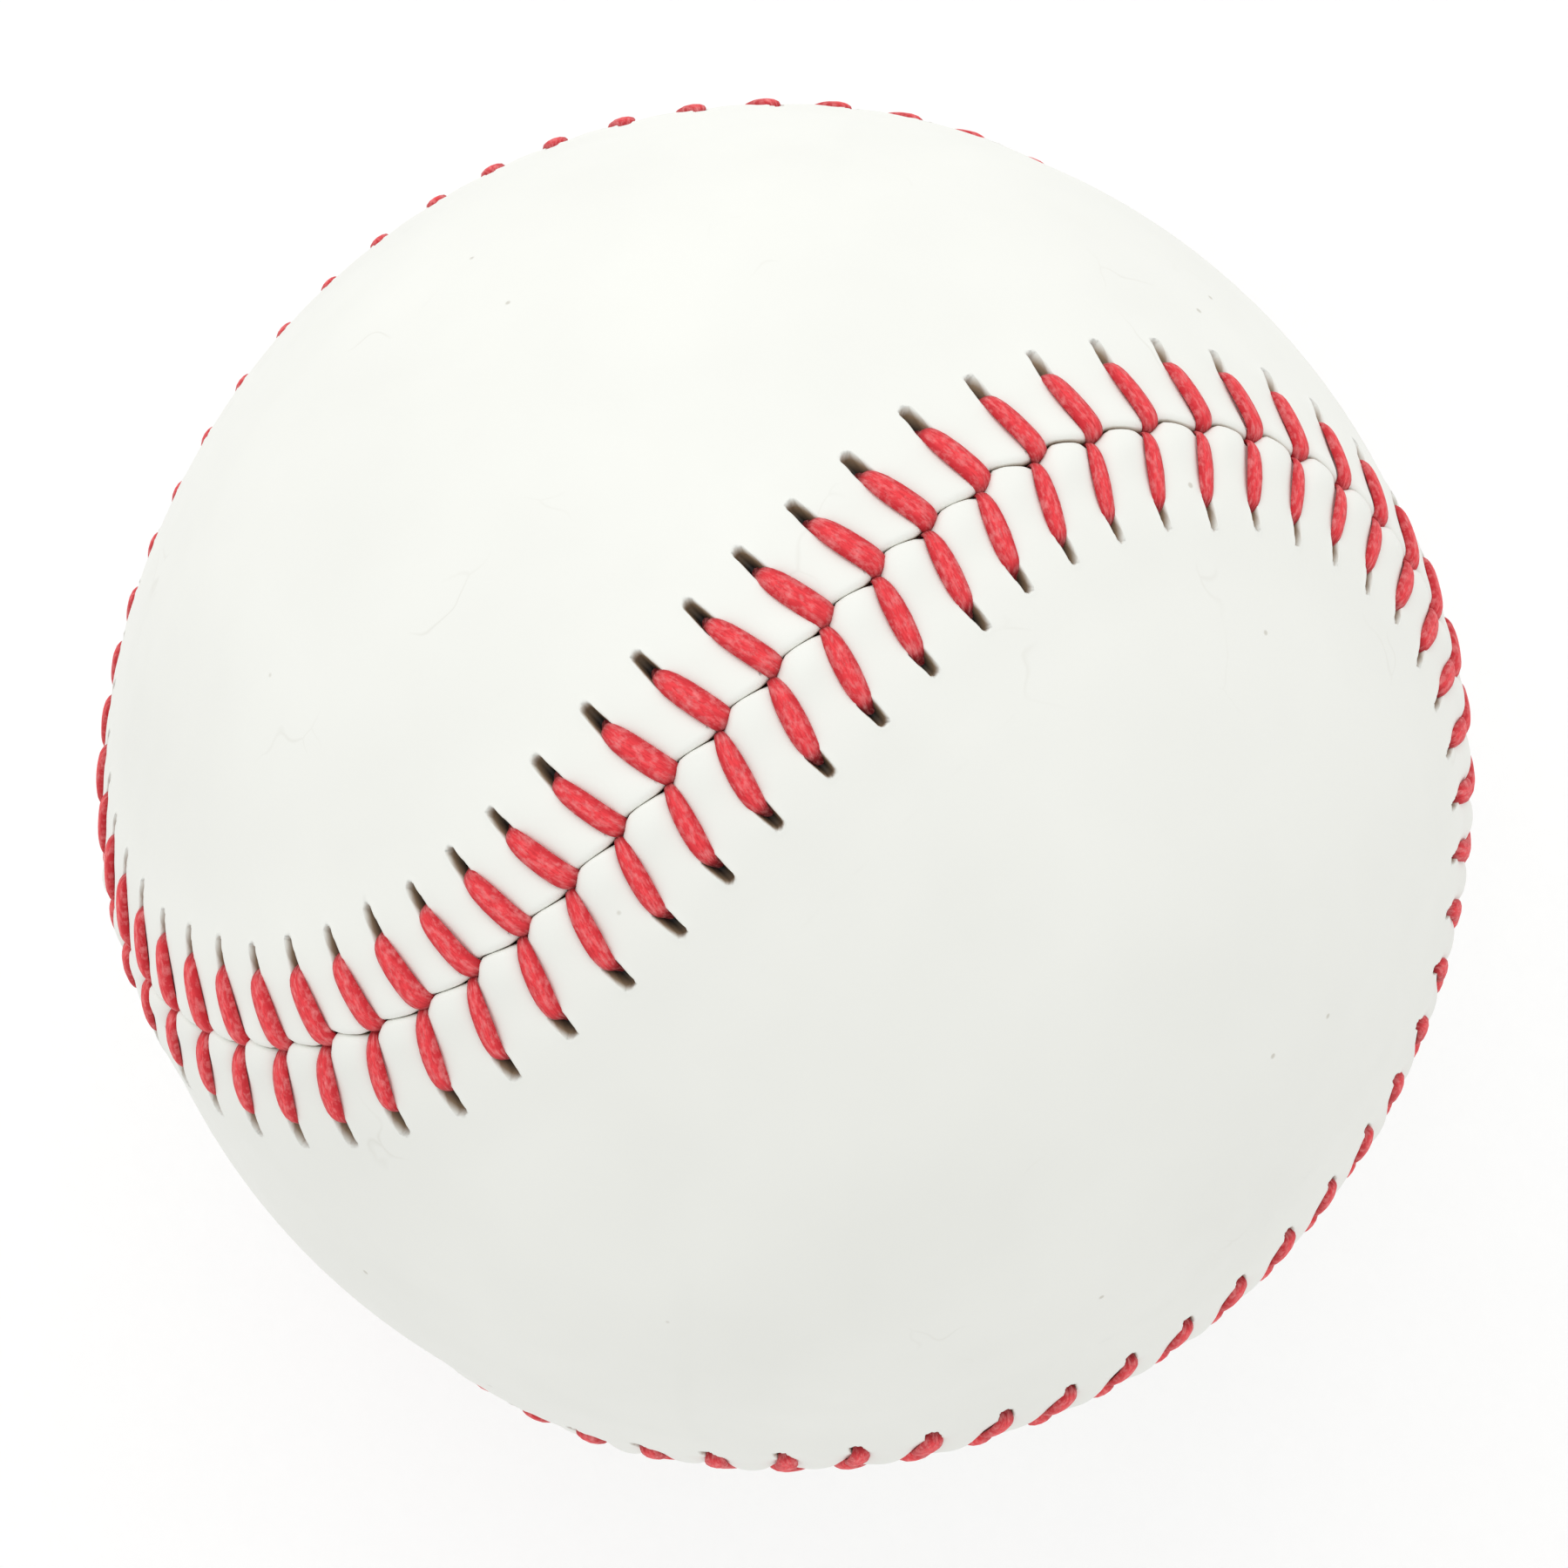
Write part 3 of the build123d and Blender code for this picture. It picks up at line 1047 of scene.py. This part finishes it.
# One leg of thread: past the junction, across the seam, height over the rim, breadth.
# It comes up through its slot, lies over the leather, and goes down at the seam.
LEG_STATIONS = {
    Side.A: (
        (-0.18, 4.8, -1.6, 0.62),
        (-0.18, 4.5, -0.95, 0.72),
        (-0.18, 4.28, -0.34, 0.8),
        (-0.13, 3.9, -0.06, 1.04),
        (-0.04, 3.3, 0.04, 1.28),
        (0.1, 2.5, 0.09, 1.4),
        (0.26, 1.65, 0.12, 1.42),
        (0.4, 0.95, 0.09, 1.4),
        (0.5, 0.52, -0.08, 1.36),
        (0.55, 0.26, -0.4, 1.28),
        (0.56, 0.08, -0.95, 0.95),
        (0.5, -0.35, -1.5, 0.6),
    ),
    Side.B: (
        (-1.22, -4.75, -1.6, 0.6),
        (-1.22, -4.42, -0.95, 0.66),
        (-1.22, -4.16, -0.36, 0.8),
        (-1.16, -3.78, -0.07, 1.0),
        (-1.02, -3.15, 0.03, 1.18),
        (-0.79, -2.4, 0.09, 1.26),
        (-0.52, -1.55, 0.1, 1.2),
        (-0.28, -0.85, 0.05, 1.02),
        (-0.12, -0.38, -0.08, 0.8),
        (-0.03, -0.05, -0.3, 0.6),
        (0.02, 0.12, -0.9, 0.5),
        (-0.1, 0.4, -1.5, 0.5),
    ),
}


@dataclass
class ThreadStrand:
    """One unbroken strand, which lies over the two panels by turns, stitch after stitch."""

    seam: SeamCourse
    node: str
    first: Side
    flatness: float = 0.43
    breadth_spread: float = 0.04
    lying_stations: tuple[int, int] = (3, 8)
    sunk_ease: tuple[float, float] = (-0.45, 0.04)
    sides: int = 12
    samples: int = 2
    seed: int = 5

    def between(self, values: np.ndarray) -> np.ndarray:
        """Spread the stations' values evenly over the samples from each to the next.

        Args:
            values: One number or vector per station.

        Returns:
            One number or vector per sample.
        """
        t = np.arange(self.samples).reshape(-1, *[1] * (values.ndim - 1)) / self.samples
        spread = values[:, None] * (1 - t) + np.roll(values, -1, axis=0)[:, None] * t
        return spread.reshape(-1, *values.shape[1:])

    def route(self) -> tuple[np.ndarray, dict[str, np.ndarray]]:
        """Lay the strand's line through its slots and over the leather.

        Returns:
            Its points, and the half breadth, stitch number and other values that they carry.
        """
        stations = []
        start, end = self.lying_stations
        for stitch in range(self.seam.stitch_count):
            side = self.first if stitch % 2 == 0 else self.first.other
            past, across, height, breadth = np.array(LEG_STATIONS[side]).T
            sway = self.seam.sway[side.row, stitch] * np.sin(np.linspace(0, math.pi, len(past)))
            along = self.seam.junction_along(np.array([stitch])) + past + sway
            place = self.seam.points(along, across, self.seam.rim_radius + height)
            flat = unit(np.cross(unit(place), unit(place[end] - place[start])))
            narrowing = 1 - LEGS[side].slack_narrowing * self.seam.slackness(along)
            width = breadth * self.seam.breadth[side.row, stitch] * narrowing
            # Painted shade: the thread's red darkens as it sinks below the rim.
            sunk_shade = 1 - smoothstep(*self.sunk_ease, height)
            stations.append((place, flat, width, sunk_shade, np.full(len(past), stitch)))
        points, flats, widths, depths, stitches = [np.concatenate(column) for column in zip(*stations)]
        # A smooth curve through the stations, each a blend of the four nearest.
        t = np.arange(self.samples) / self.samples
        basis = 0.5 * np.stack(
            [-t + 2 * t**2 - t**3, 2 - 5 * t**2 + 3 * t**3, t + 4 * t**2 - 3 * t**3, -(t**2) + t**3], axis=1
        )
        near = [np.roll(points, shift, axis=0) for shift in (1, 0, -1, -2)]
        fine = sum(basis[None, :, i, None] * near[i][:, None] for i in range(4)).reshape(-1, 3)
        following = np.roll(fine, -1, axis=0)
        ahead = unit(following - np.roll(fine, 1, axis=0))
        steps = np.linalg.norm(following - fine, axis=1)
        carried = {
            "flat": unit(np.cross(ahead, unit(self.between(flats)))),
            "half": self.between(widths) / 2 * MM,
            "sunk_shade": self.between(depths),
            "along": np.concatenate([[0.0], np.cumsum(steps)[:-1]]),
            "stitch": np.repeat(stitches, self.samples),
        }
        return fine, carried

    def tree(self) -> bpy.types.NodeTree:
        """Build the node tree that sweeps a flattened round along the strand's line.

        Returns:
            The tree, with named inputs for its profile, spread of breadths, seed and material.
        """
        sizes = {"Profile Sides": "Int", "Flatness": "Float", "Breadth Spread": "Float", "Seed": "Int"}
        made = sweep_tree("waxed_thread_sweep", sizes)
        given = add(made, "NodeGroupInput").outputs
        kinds = {"stitch": "INT", "flat": "FLOAT_VECTOR"}
        kinds.update(dict.fromkeys(("half", "along", "across"), "FLOAT"))
        carried = {
            name: add(made, "GeometryNodeInputNamedAttribute", {0: name}, data_type=kind)
            for name, kind in kinds.items()
        }
        # Each stitch has a breadth of its own.
        spread = given["Breadth Spread"]
        least = add(made, "ShaderNodeMath", {0: 1.0, 1: spread}, operation="SUBTRACT")
        most = add(made, "ShaderNodeMath", {0: 1.0, 1: spread}, operation="ADD")
        limits = {2: least, 3: most, "ID": carried["stitch"], "Seed": given["Seed"]}
        chance = add(made, "FunctionNodeRandomValue", limits, data_type="FLOAT")
        scale = add(made, "ShaderNodeMath", {0: carried["half"], 1: chance}, operation="MULTIPLY")
        line = add(made, "GeometryNodeMeshToCurve", {0: given["Geometry"]})
        laid = add(made, "GeometryNodeSetCurveNormal", {0: line, 2: carried["flat"]}, mode="FREE")
        # The profile, a round of unit radius, is marked across and then pressed flat.
        unit_round = {"Resolution": given["Profile Sides"], "Radius": 1.0}
        ring = add(made, "GeometryNodeCurvePrimitiveCircle", unit_round, mode="RADIUS")
        parts = add(made, "ShaderNodeSeparateXYZ", {0: add(made, "GeometryNodeInputPosition")})
        mark = {0: ring, "Name": "across", "Value": parts.outputs[1]}
        marked = add(made, "GeometryNodeStoreNamedAttribute", mark, data_type="FLOAT", domain="POINT")
        press = add(made, "ShaderNodeCombineXYZ", {0: given["Flatness"], 1: 1.0, 2: 1.0})
        profile = add(made, "GeometryNodeTransform", {0: marked, "Scale": press})
        swept = add(made, "GeometryNodeCurveToMesh", {0: laid, 1: profile, "Scale": scale})
        chart = add(made, "ShaderNodeCombineXYZ", {0: carried["along"], 1: carried["across"]})
        mark = {0: swept, "Name": "UVMap", "Value": chart}
        charted = add(made, "GeometryNodeStoreNamedAttribute", mark, data_type="FLOAT2", domain="CORNER")
        end_sweep(made, charted, given["Material"])
        return made

    def build(self, thread: bpy.types.Material) -> bpy.types.Object:
        """Make the strand and let it stand for its CAD node.

        Args:
            thread: The material of the strand.

        Returns:
            The finished piece.
        """
        points, carried = self.route()
        values = {
            "Profile Sides": self.sides,
            "Flatness": self.flatness,
            "Breadth Spread": self.breadth_spread,
            "Seed": self.seed,
            "Material": thread,
        }
        mesh = swept_mesh(points, True, carried, self.tree(), values)
        return placed(mesh, self.node + "_stitches", self.node)


@dataclass(frozen=True)
class YarnFinish:
    """Spun yarn: plies laid round each other, with painted shade in the furrows between them and a soft
    nap.
    """

    name: str
    light: str
    dark: str
    plies: int
    lay_length: float
    nap_size: float = 0.3
    relief: float = 0.1

    def material(self) -> bpy.types.Material:
        """Build the yarn's node material.

        Returns:
            The material, which reads the yarn's length from UVMap and its round from ring.
        """
        made, tree, shader = new_finish(self.name)
        # Plies: each runs once round the yarn in a lay length.
        length = add(tree, "ShaderNodeSeparateXYZ", {0: add(tree, "ShaderNodeUVMap", uv_map="UVMap")})
        ring = add(tree, "ShaderNodeAttribute", attribute_name="ring").outputs["Vector"]
        across = add(tree, "ShaderNodeSeparateXYZ", {0: ring}).outputs
        turn = add(tree, "ShaderNodeMath", {0: across[1], 1: across[0]}, operation="ARCTAN2")
        twist = {0: length, 1: math.tau / self.lay_length, 2: turn}
        lay = add(tree, "ShaderNodeMath", twist, operation="MULTIPLY_ADD")
        phase = add(tree, "ShaderNodeMath", {0: lay, 1: float(self.plies)}, operation="MULTIPLY")
        ply = add(tree, "ShaderNodeMath", {0: phase}, operation="SINE")
        furrow = add(tree, "ShaderNodeMapRange", {0: ply, 1: -1.0, 2: 0.1, 3: 1.0, 4: 0.0})
        # Nap: loose fibre, which breaks up the painted shade of the furrows.
        place = add(tree, "ShaderNodeTexCoord").outputs["Object"]
        scale = 1 / (self.nap_size * MM)
        nap = add(tree, "ShaderNodeTexNoise", {"Vector": place, "Scale": scale, "Detail": 4.0})
        # Painted shade: the yarn darkens in the furrows between its plies.
        furrow_shade = add(tree, "ShaderNodeMath", {0: furrow, 1: nap}, operation="MULTIPLY")
        shades = {0: furrow_shade, 6: linear(self.light), 7: linear(self.dark)}
        height = add(tree, "ShaderNodeMath", {0: ply, 1: nap}, operation="ADD")
        bump = {"Strength": 0.6, "Distance": self.relief * MM, "Height": height}
        finish = {
            "Base Color": add(tree, "ShaderNodeMix", shades, data_type="RGBA"),
            "Normal": add(tree, "ShaderNodeBump", bump),
            "Roughness": 0.95,
            "Specular IOR Level": 0.2,
        }
        feed(shader, finish)
        return made


@dataclass
class YarnWinding:
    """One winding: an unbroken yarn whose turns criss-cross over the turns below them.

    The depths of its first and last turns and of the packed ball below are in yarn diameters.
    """

    node: str
    slot: str
    inner_radius: float
    outer_radius: float
    yarn_diameter: float
    turns: int
    finish: YarnFinish
    first_depth: float = 1.25
    last_depth: float = 0.55
    packed_depth: float = 1.2
    turn_points: int = 40
    sides: int = 5
    ball_subdivisions: int = 5
    drift: float = 0.191

    def course(self) -> np.ndarray:
        """Lay the yarn: great circles whose plane leans and drifts a little with each turn.

        Returns:
            Points along the yarn, first turns deepest.
        """
        share = np.linspace(0, 1, self.turns * self.turn_points)
        lean = np.arccos(1 - share)
        bearing = math.tau * self.drift * self.turns * share
        spin = math.tau * self.turns * share
        level = np.stack([-np.sin(bearing), np.cos(bearing), np.zeros_like(share)], axis=1)
        normal = np.stack(
            [np.sin(lean) * np.cos(bearing), np.sin(lean) * np.sin(bearing), np.cos(lean)], axis=1
        )
        climb = np.cross(normal, level)
        around = level * np.cos(spin)[:, None] + climb * np.sin(spin)[:, None]
        room = self.outer_radius - self.inner_radius
        deepest = min(self.first_depth * self.yarn_diameter, room - self.yarn_diameter / 2)
        depth = deepest + (self.last_depth * self.yarn_diameter - deepest) * share
        return unit(around) * (self.outer_radius - depth)[:, None]

    def tree(self) -> bpy.types.NodeTree:
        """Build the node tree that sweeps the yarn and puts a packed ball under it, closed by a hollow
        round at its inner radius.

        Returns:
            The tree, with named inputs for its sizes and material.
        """
        radii = dict.fromkeys(("Yarn Radius", "Packed Radius", "Inner Radius"), "Float")
        made = sweep_tree("yarn_winding", {"Yarn Sides": "Int", "Ball Subdivisions": "Int", **radii})
        given = add(made, "NodeGroupInput").outputs
        line = add(made, "GeometryNodeMeshToCurve", {0: given["Geometry"]})
        profile = {"Resolution": given["Yarn Sides"], "Radius": given["Yarn Radius"]}
        ring = add(made, "GeometryNodeCurvePrimitiveCircle", profile, mode="RADIUS")
        mark = {0: ring, "Name": "ring", "Value": add(made, "GeometryNodeInputPosition")}
        stored = {"data_type": "FLOAT_VECTOR", "domain": "POINT"}
        marked = add(made, "GeometryNodeStoreNamedAttribute", mark, **stored)
        swept = add(made, "GeometryNodeCurveToMesh", {0: line, 1: marked, "Fill Caps": True})
        along = add(made, "GeometryNodeInputNamedAttribute", {0: "along"}, data_type="FLOAT")
        mark = {0: swept, "Name": "UVMap", "Value": add(made, "ShaderNodeCombineXYZ", {0: along})}
        charted = add(made, "GeometryNodeStoreNamedAttribute", mark, data_type="FLOAT2", domain="CORNER")
        balls = []
        for name in ("Packed Radius", "Inner Radius"):
            ball = {"Radius": given[name], "Subdivisions": given["Ball Subdivisions"]}
            balls.append(add(made, "GeometryNodeMeshIcoSphere", ball))
        packed, hollow = balls
        joined = add(made, "GeometryNodeJoinGeometry")
        for part in (charted, packed, add(made, "GeometryNodeFlipFaces", {0: hollow})):
            feed(joined, {0: part})
        end_sweep(made, joined, given["Material"])
        return made

    def build(self, yarn: bpy.types.Material) -> bpy.types.Object:
        """Make the winding and let it stand for its CAD node.

        Args:
            yarn: The material of the yarn.

        Returns:
            The finished piece.
        """
        points = self.course()
        steps = np.linalg.norm(np.diff(points, axis=0), axis=1)
        along = np.concatenate([[0.0], np.cumsum(steps)])
        values = {
            "Yarn Sides": self.sides,
            "Ball Subdivisions": self.ball_subdivisions,
            "Yarn Radius": self.yarn_diameter / 2 * MM,
            "Packed Radius": (self.outer_radius - self.packed_depth * self.yarn_diameter) * MM,
            "Inner Radius": self.inner_radius * MM,
            "Material": yarn,
        }
        mesh = swept_mesh(points, False, {"along": along}, self.tree(), values)
        return placed(mesh, self.node + "_yarn", self.node)


@dataclass(frozen=True)
class CoreFinish:
    """A finish of one hidden layer: two colours in a grain of one size, with its relief."""

    name: str
    light: str
    dark: str
    grain_size: float
    roughness: float
    relief: float
    cells: bool = False

    def material(self) -> bpy.types.Material:
        """Build the layer's node material.

        Returns:
            The material.
        """
        made, tree, shader = new_finish(self.name)
        place = add(tree, "ShaderNodeTexCoord").outputs["Object"]
        pattern = {"Vector": place, "Scale": 1 / (self.grain_size * MM)}
        if self.cells:
            # Granules: each cell of the pattern is one crumb of its own shade.
            grain = add(tree, "ShaderNodeTexVoronoi", pattern)
            tone = add(tree, "ShaderNodeSeparateColor", {0: grain.outputs["Color"]})
        else:
            # Moulding or drying marks: a fine even noise.
            grain = add(tree, "ShaderNodeTexNoise", {**pattern, "Detail": 5.0})
            tone = grain
        shades = {0: tone, 6: linear(self.light), 7: linear(self.dark)}
        bump = {"Strength": 0.5, "Distance": self.relief * MM, "Height": grain}
        finish = {
            "Base Color": add(tree, "ShaderNodeMix", shades, data_type="RGBA"),
            "Normal": add(tree, "ShaderNodeBump", bump),
            "Roughness": self.roughness,
        }
        feed(shader, finish)
        return made


@dataclass
class WoundCore:
    """The pill and the cement, whose CAD meshes are right as they are, and the four windings."""

    cork: CoreFinish = CoreFinish(
        "composition_cork", "#C79A62", "#7A5127", grain_size=1.6, roughness=0.9, relief=0.2, cells=True
    )
    black: CoreFinish = CoreFinish(
        "moulded_black_rubber", "#262524", "#121212", grain_size=0.6, roughness=0.6, relief=0.03
    )
    red: CoreFinish = CoreFinish(
        "moulded_red_rubber", "#A8372B", "#7E2118", grain_size=0.6, roughness=0.58, relief=0.03
    )
    cement: CoreFinish = CoreFinish(
        "dried_rubber_cement", "#D9C89B", "#B79F68", grain_size=2.2, roughness=0.35, relief=0.04
    )
    grey: YarnFinish = YarnFinish("grey_wool_yarn", "#A9A59D", "#5E5A55", plies=4, lay_length=7.0)
    white: YarnFinish = YarnFinish("white_wool_yarn", "#E9E3D4", "#B3A98F", plies=3, lay_length=6.0)
    cotton: YarnFinish = YarnFinish("cotton_finishing_yarn", "#EFE9DA", "#BFB59C", plies=2, lay_length=2.4)

    def dress(self, nodes: dict[str, bpy.types.Object]) -> None:
        """Give the pill and the cement their finishes.

        Args:
            nodes: The frame's CAD objects by name.
        """
        worn_by = {
            self.cork: ("cork_core",),
            self.black: ("black_rubber_upper", "black_rubber_lower"),
            self.red: ("rubber_washer", "red_rubber_jacket"),
            self.cement: ("cement_coat",),
        }
        for finish, names in worn_by.items():
            material = finish.material()
            for name in names:
                mesh = nodes[name].data
                mesh.materials.clear()
                mesh.materials.append(material)
                log.info("dressed %s in %s", name, finish.name)

    def wind(self) -> None:
        """Wind the four layers of yarn, each inside the room of its CAD node."""
        # Node, material slot, inner and outer radius of the layer's room, diameter of the yarn.
        layers = (
            YarnWinding("first_wind", "grey_wool_yarn", 16.75, 30.9, 1.6, turns=100, finish=self.grey),
            YarnWinding("second_wind", "white_wool_yarn", 30.95, 32.65, 1.2, turns=120, finish=self.white),
            YarnWinding("third_wind", "grey_wool_yarn", 32.7, 34.9, 1.2, turns=120, finish=self.grey),
            YarnWinding("finishing_wind", "cotton_yarn", 34.95, 35.4, 0.34, turns=230, finish=self.cotton),
        )
        spun = {finish: finish.material() for finish in (self.grey, self.white, self.cotton)}
        for layer in layers:
            layer.build(spun[layer.finish])


@dataclass
class Studio:
    """The pale floor, the soft light and the camera, set from the photograph's own view."""

    right: tuple[float, float, float] = (0.60908, 0.79033, -0.06636)
    up: tuple[float, float, float] = (-0.78524, 0.61268, 0.08951)
    back: tuple[float, float, float] = (0.1114, -0.00241, 0.99377)
    distance: float = 360.0
    lens: float = 149.65
    sensor_width: float = 36.0
    aim: tuple[float, float] = (-0.072, -0.024)
    floor_size: float = 6000.0
    floor_clearance: float = 0.02
    floor_colour: str = "#B9B9B9"
    floor_white: str = "#FAFAFA"
    floor_lift: float = 0.56
    fibre_size: float = 1.1
    dome_colour: tuple[float, float, float, float] = (1.0, 1.0, 0.99, 1.0)
    dome_strength: float = 0.84
    key_watts: float = 3.6
    key_size: float = 1300.0
    key_distance: float = 1200.0
    key_toward: tuple[float, float, float] = (0.74, -0.16, 0.65)

    def camera(self) -> None:
        """Place the camera on the photograph's line of sight."""
        data = bpy.data.cameras.new("camera")
        data.lens = self.lens
        data.sensor_width = self.sensor_width
        data.clip_start = 0.01
        data.clip_end = 50.0
        camera = bpy.data.objects.new("camera", data)
        bpy.context.scene.collection.objects.link(camera)
        back = Vector(self.back).normalized()
        right = Vector(self.right)
        right = (right - back * right.dot(back)).normalized()
        up = back.cross(right)
        spot = back * self.distance + right * self.aim[0] + up * self.aim[1]
        turn = Matrix((right, up, back)).transposed().to_4x4()
        camera.matrix_world = Matrix.Translation(spot * MM) @ turn
        bpy.context.scene.camera = camera

    def seen(self, tree: bpy.types.NodeTree) -> bpy.types.Node:
        """Tell the rays that show a surface, straight, mirrored or through glass, from those that light.

        Args:
            tree: The node tree that asks.

        Returns:
            The node that gives 1 for a ray that shows the surface.
        """
        path = add(tree, "ShaderNodeLightPath").outputs
        rays = {0: path["Is Glossy Ray"], 1: path["Is Transmission Ray"]}
        glossy = add(tree, "ShaderNodeMath", rays, operation="MAXIMUM")
        return add(tree, "ShaderNodeMath", {0: path["Is Camera Ray"], 1: glossy}, operation="MAXIMUM")

    def floor(self, lowest: float) -> None:
        """Lay the floor that the ball rests on.

        Args:
            lowest: The height of the ball's lowest point, in metres.
        """
        half = self.floor_size / 2 * MM
        height = lowest - self.floor_clearance * MM
        mesh = bpy.data.meshes.new("floor")
        corners = [(x * half, y * half, height) for x, y in ((-1, -1), (1, -1), (1, 1), (-1, 1))]
        mesh.from_pydata(corners, [], [(0, 1, 2, 3)])
        made, tree, shader = new_finish("white_paper_sweep")
        # Paper: an even matt white, shown a step darker with a lift to white, so that its shadow stays.
        seen = self.seen(tree)
        place = add(tree, "ShaderNodeTexCoord").outputs["Object"]
        scale = 1 / (self.fibre_size * MM)
        fibre = add(tree, "ShaderNodeTexNoise", {"Vector": place, "Scale": scale, "Detail": 2.0})
        tone = add(tree, "ShaderNodeMapRange", {0: fibre, 3: 0.96, 4: 1.0})
        whites = {0: seen, 6: linear(self.floor_white), 7: linear(self.floor_colour)}
        paper = add(tree, "ShaderNodeMix", whites, data_type="RGBA")
        toned = {0: 1.0, 6: paper, 7: tone}
        lift = {0: seen, 1: self.floor_lift}
        finish = {
            "Base Color": add(tree, "ShaderNodeMix", toned, data_type="RGBA", blend_type="MULTIPLY"),
            "Roughness": 0.95,
            "Specular IOR Level": 0.0,
            "Emission Color": linear("#FFFFFF"),
            "Emission Strength": add(tree, "ShaderNodeMath", lift, operation="MULTIPLY"),
        }
        feed(shader, finish)
        mesh.materials.append(made)
        floor = bpy.data.objects.new("floor", mesh)
        bpy.context.scene.collection.objects.link(floor)
        floor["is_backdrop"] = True

    def light(self) -> None:
        """Hang one large soft lamp over the picture's upper edge and light the whole dome."""
        world = bpy.data.worlds.new("studio_dome")
        world.use_nodes = True
        tree = world.node_tree
        level = add(tree, "ShaderNodeMapRange", {0: self.seen(tree), 3: self.dome_strength, 4: 1.0})
        feed(tree.nodes["Background"], {"Strength": level, "Color": self.dome_colour})
        bpy.context.scene.world = world
        data = bpy.data.lights.new("soft_key", "AREA")
        data.shape = "DISK"
        data.size = self.key_size * MM
        data.energy = self.key_watts
        lamp = bpy.data.objects.new("soft_key", data)
        bpy.context.scene.collection.objects.link(lamp)
        over, aside, front = self.key_toward
        toward = Vector(self.up) * over + Vector(self.right) * aside + Vector(self.back) * front
        toward.normalize()
        lamp.location = toward * self.key_distance * MM
        lamp.rotation_mode = "QUATERNION"
        lamp.rotation_quaternion = toward.to_track_quat("Z", "Y")
        bpy.context.scene.view_settings.view_transform = "Standard"


def main() -> None:
    """Build every piece in order, then the studio."""
    logging.basicConfig(level=logging.INFO, format="%(name)s: %(message)s")
    seam = SeamCourse()
    log.info("seam %.1f mm long, stitch pitch %.3f mm", seam.length, seam.pitch)
    leather = LeatherFinish().material()
    for side, node in ((Side.A, "cover_panel_a"), (Side.B, "cover_panel_b")):
        CoverPanel(seam, side, node).build(leather)
    thread = ThreadFinish().material()
    for first, node in ((Side.A, "thread_strand_a"), (Side.B, "thread_strand_b")):
        ThreadStrand(seam, node, first).build(thread)
    core = WoundCore()
    core.dress(frame["nodes"])
    core.wind()
    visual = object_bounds()
    studio = Studio()
    studio.camera()
    studio.floor(visual[0].z)
    studio.light()


if __name__ == "__main__":
    main()
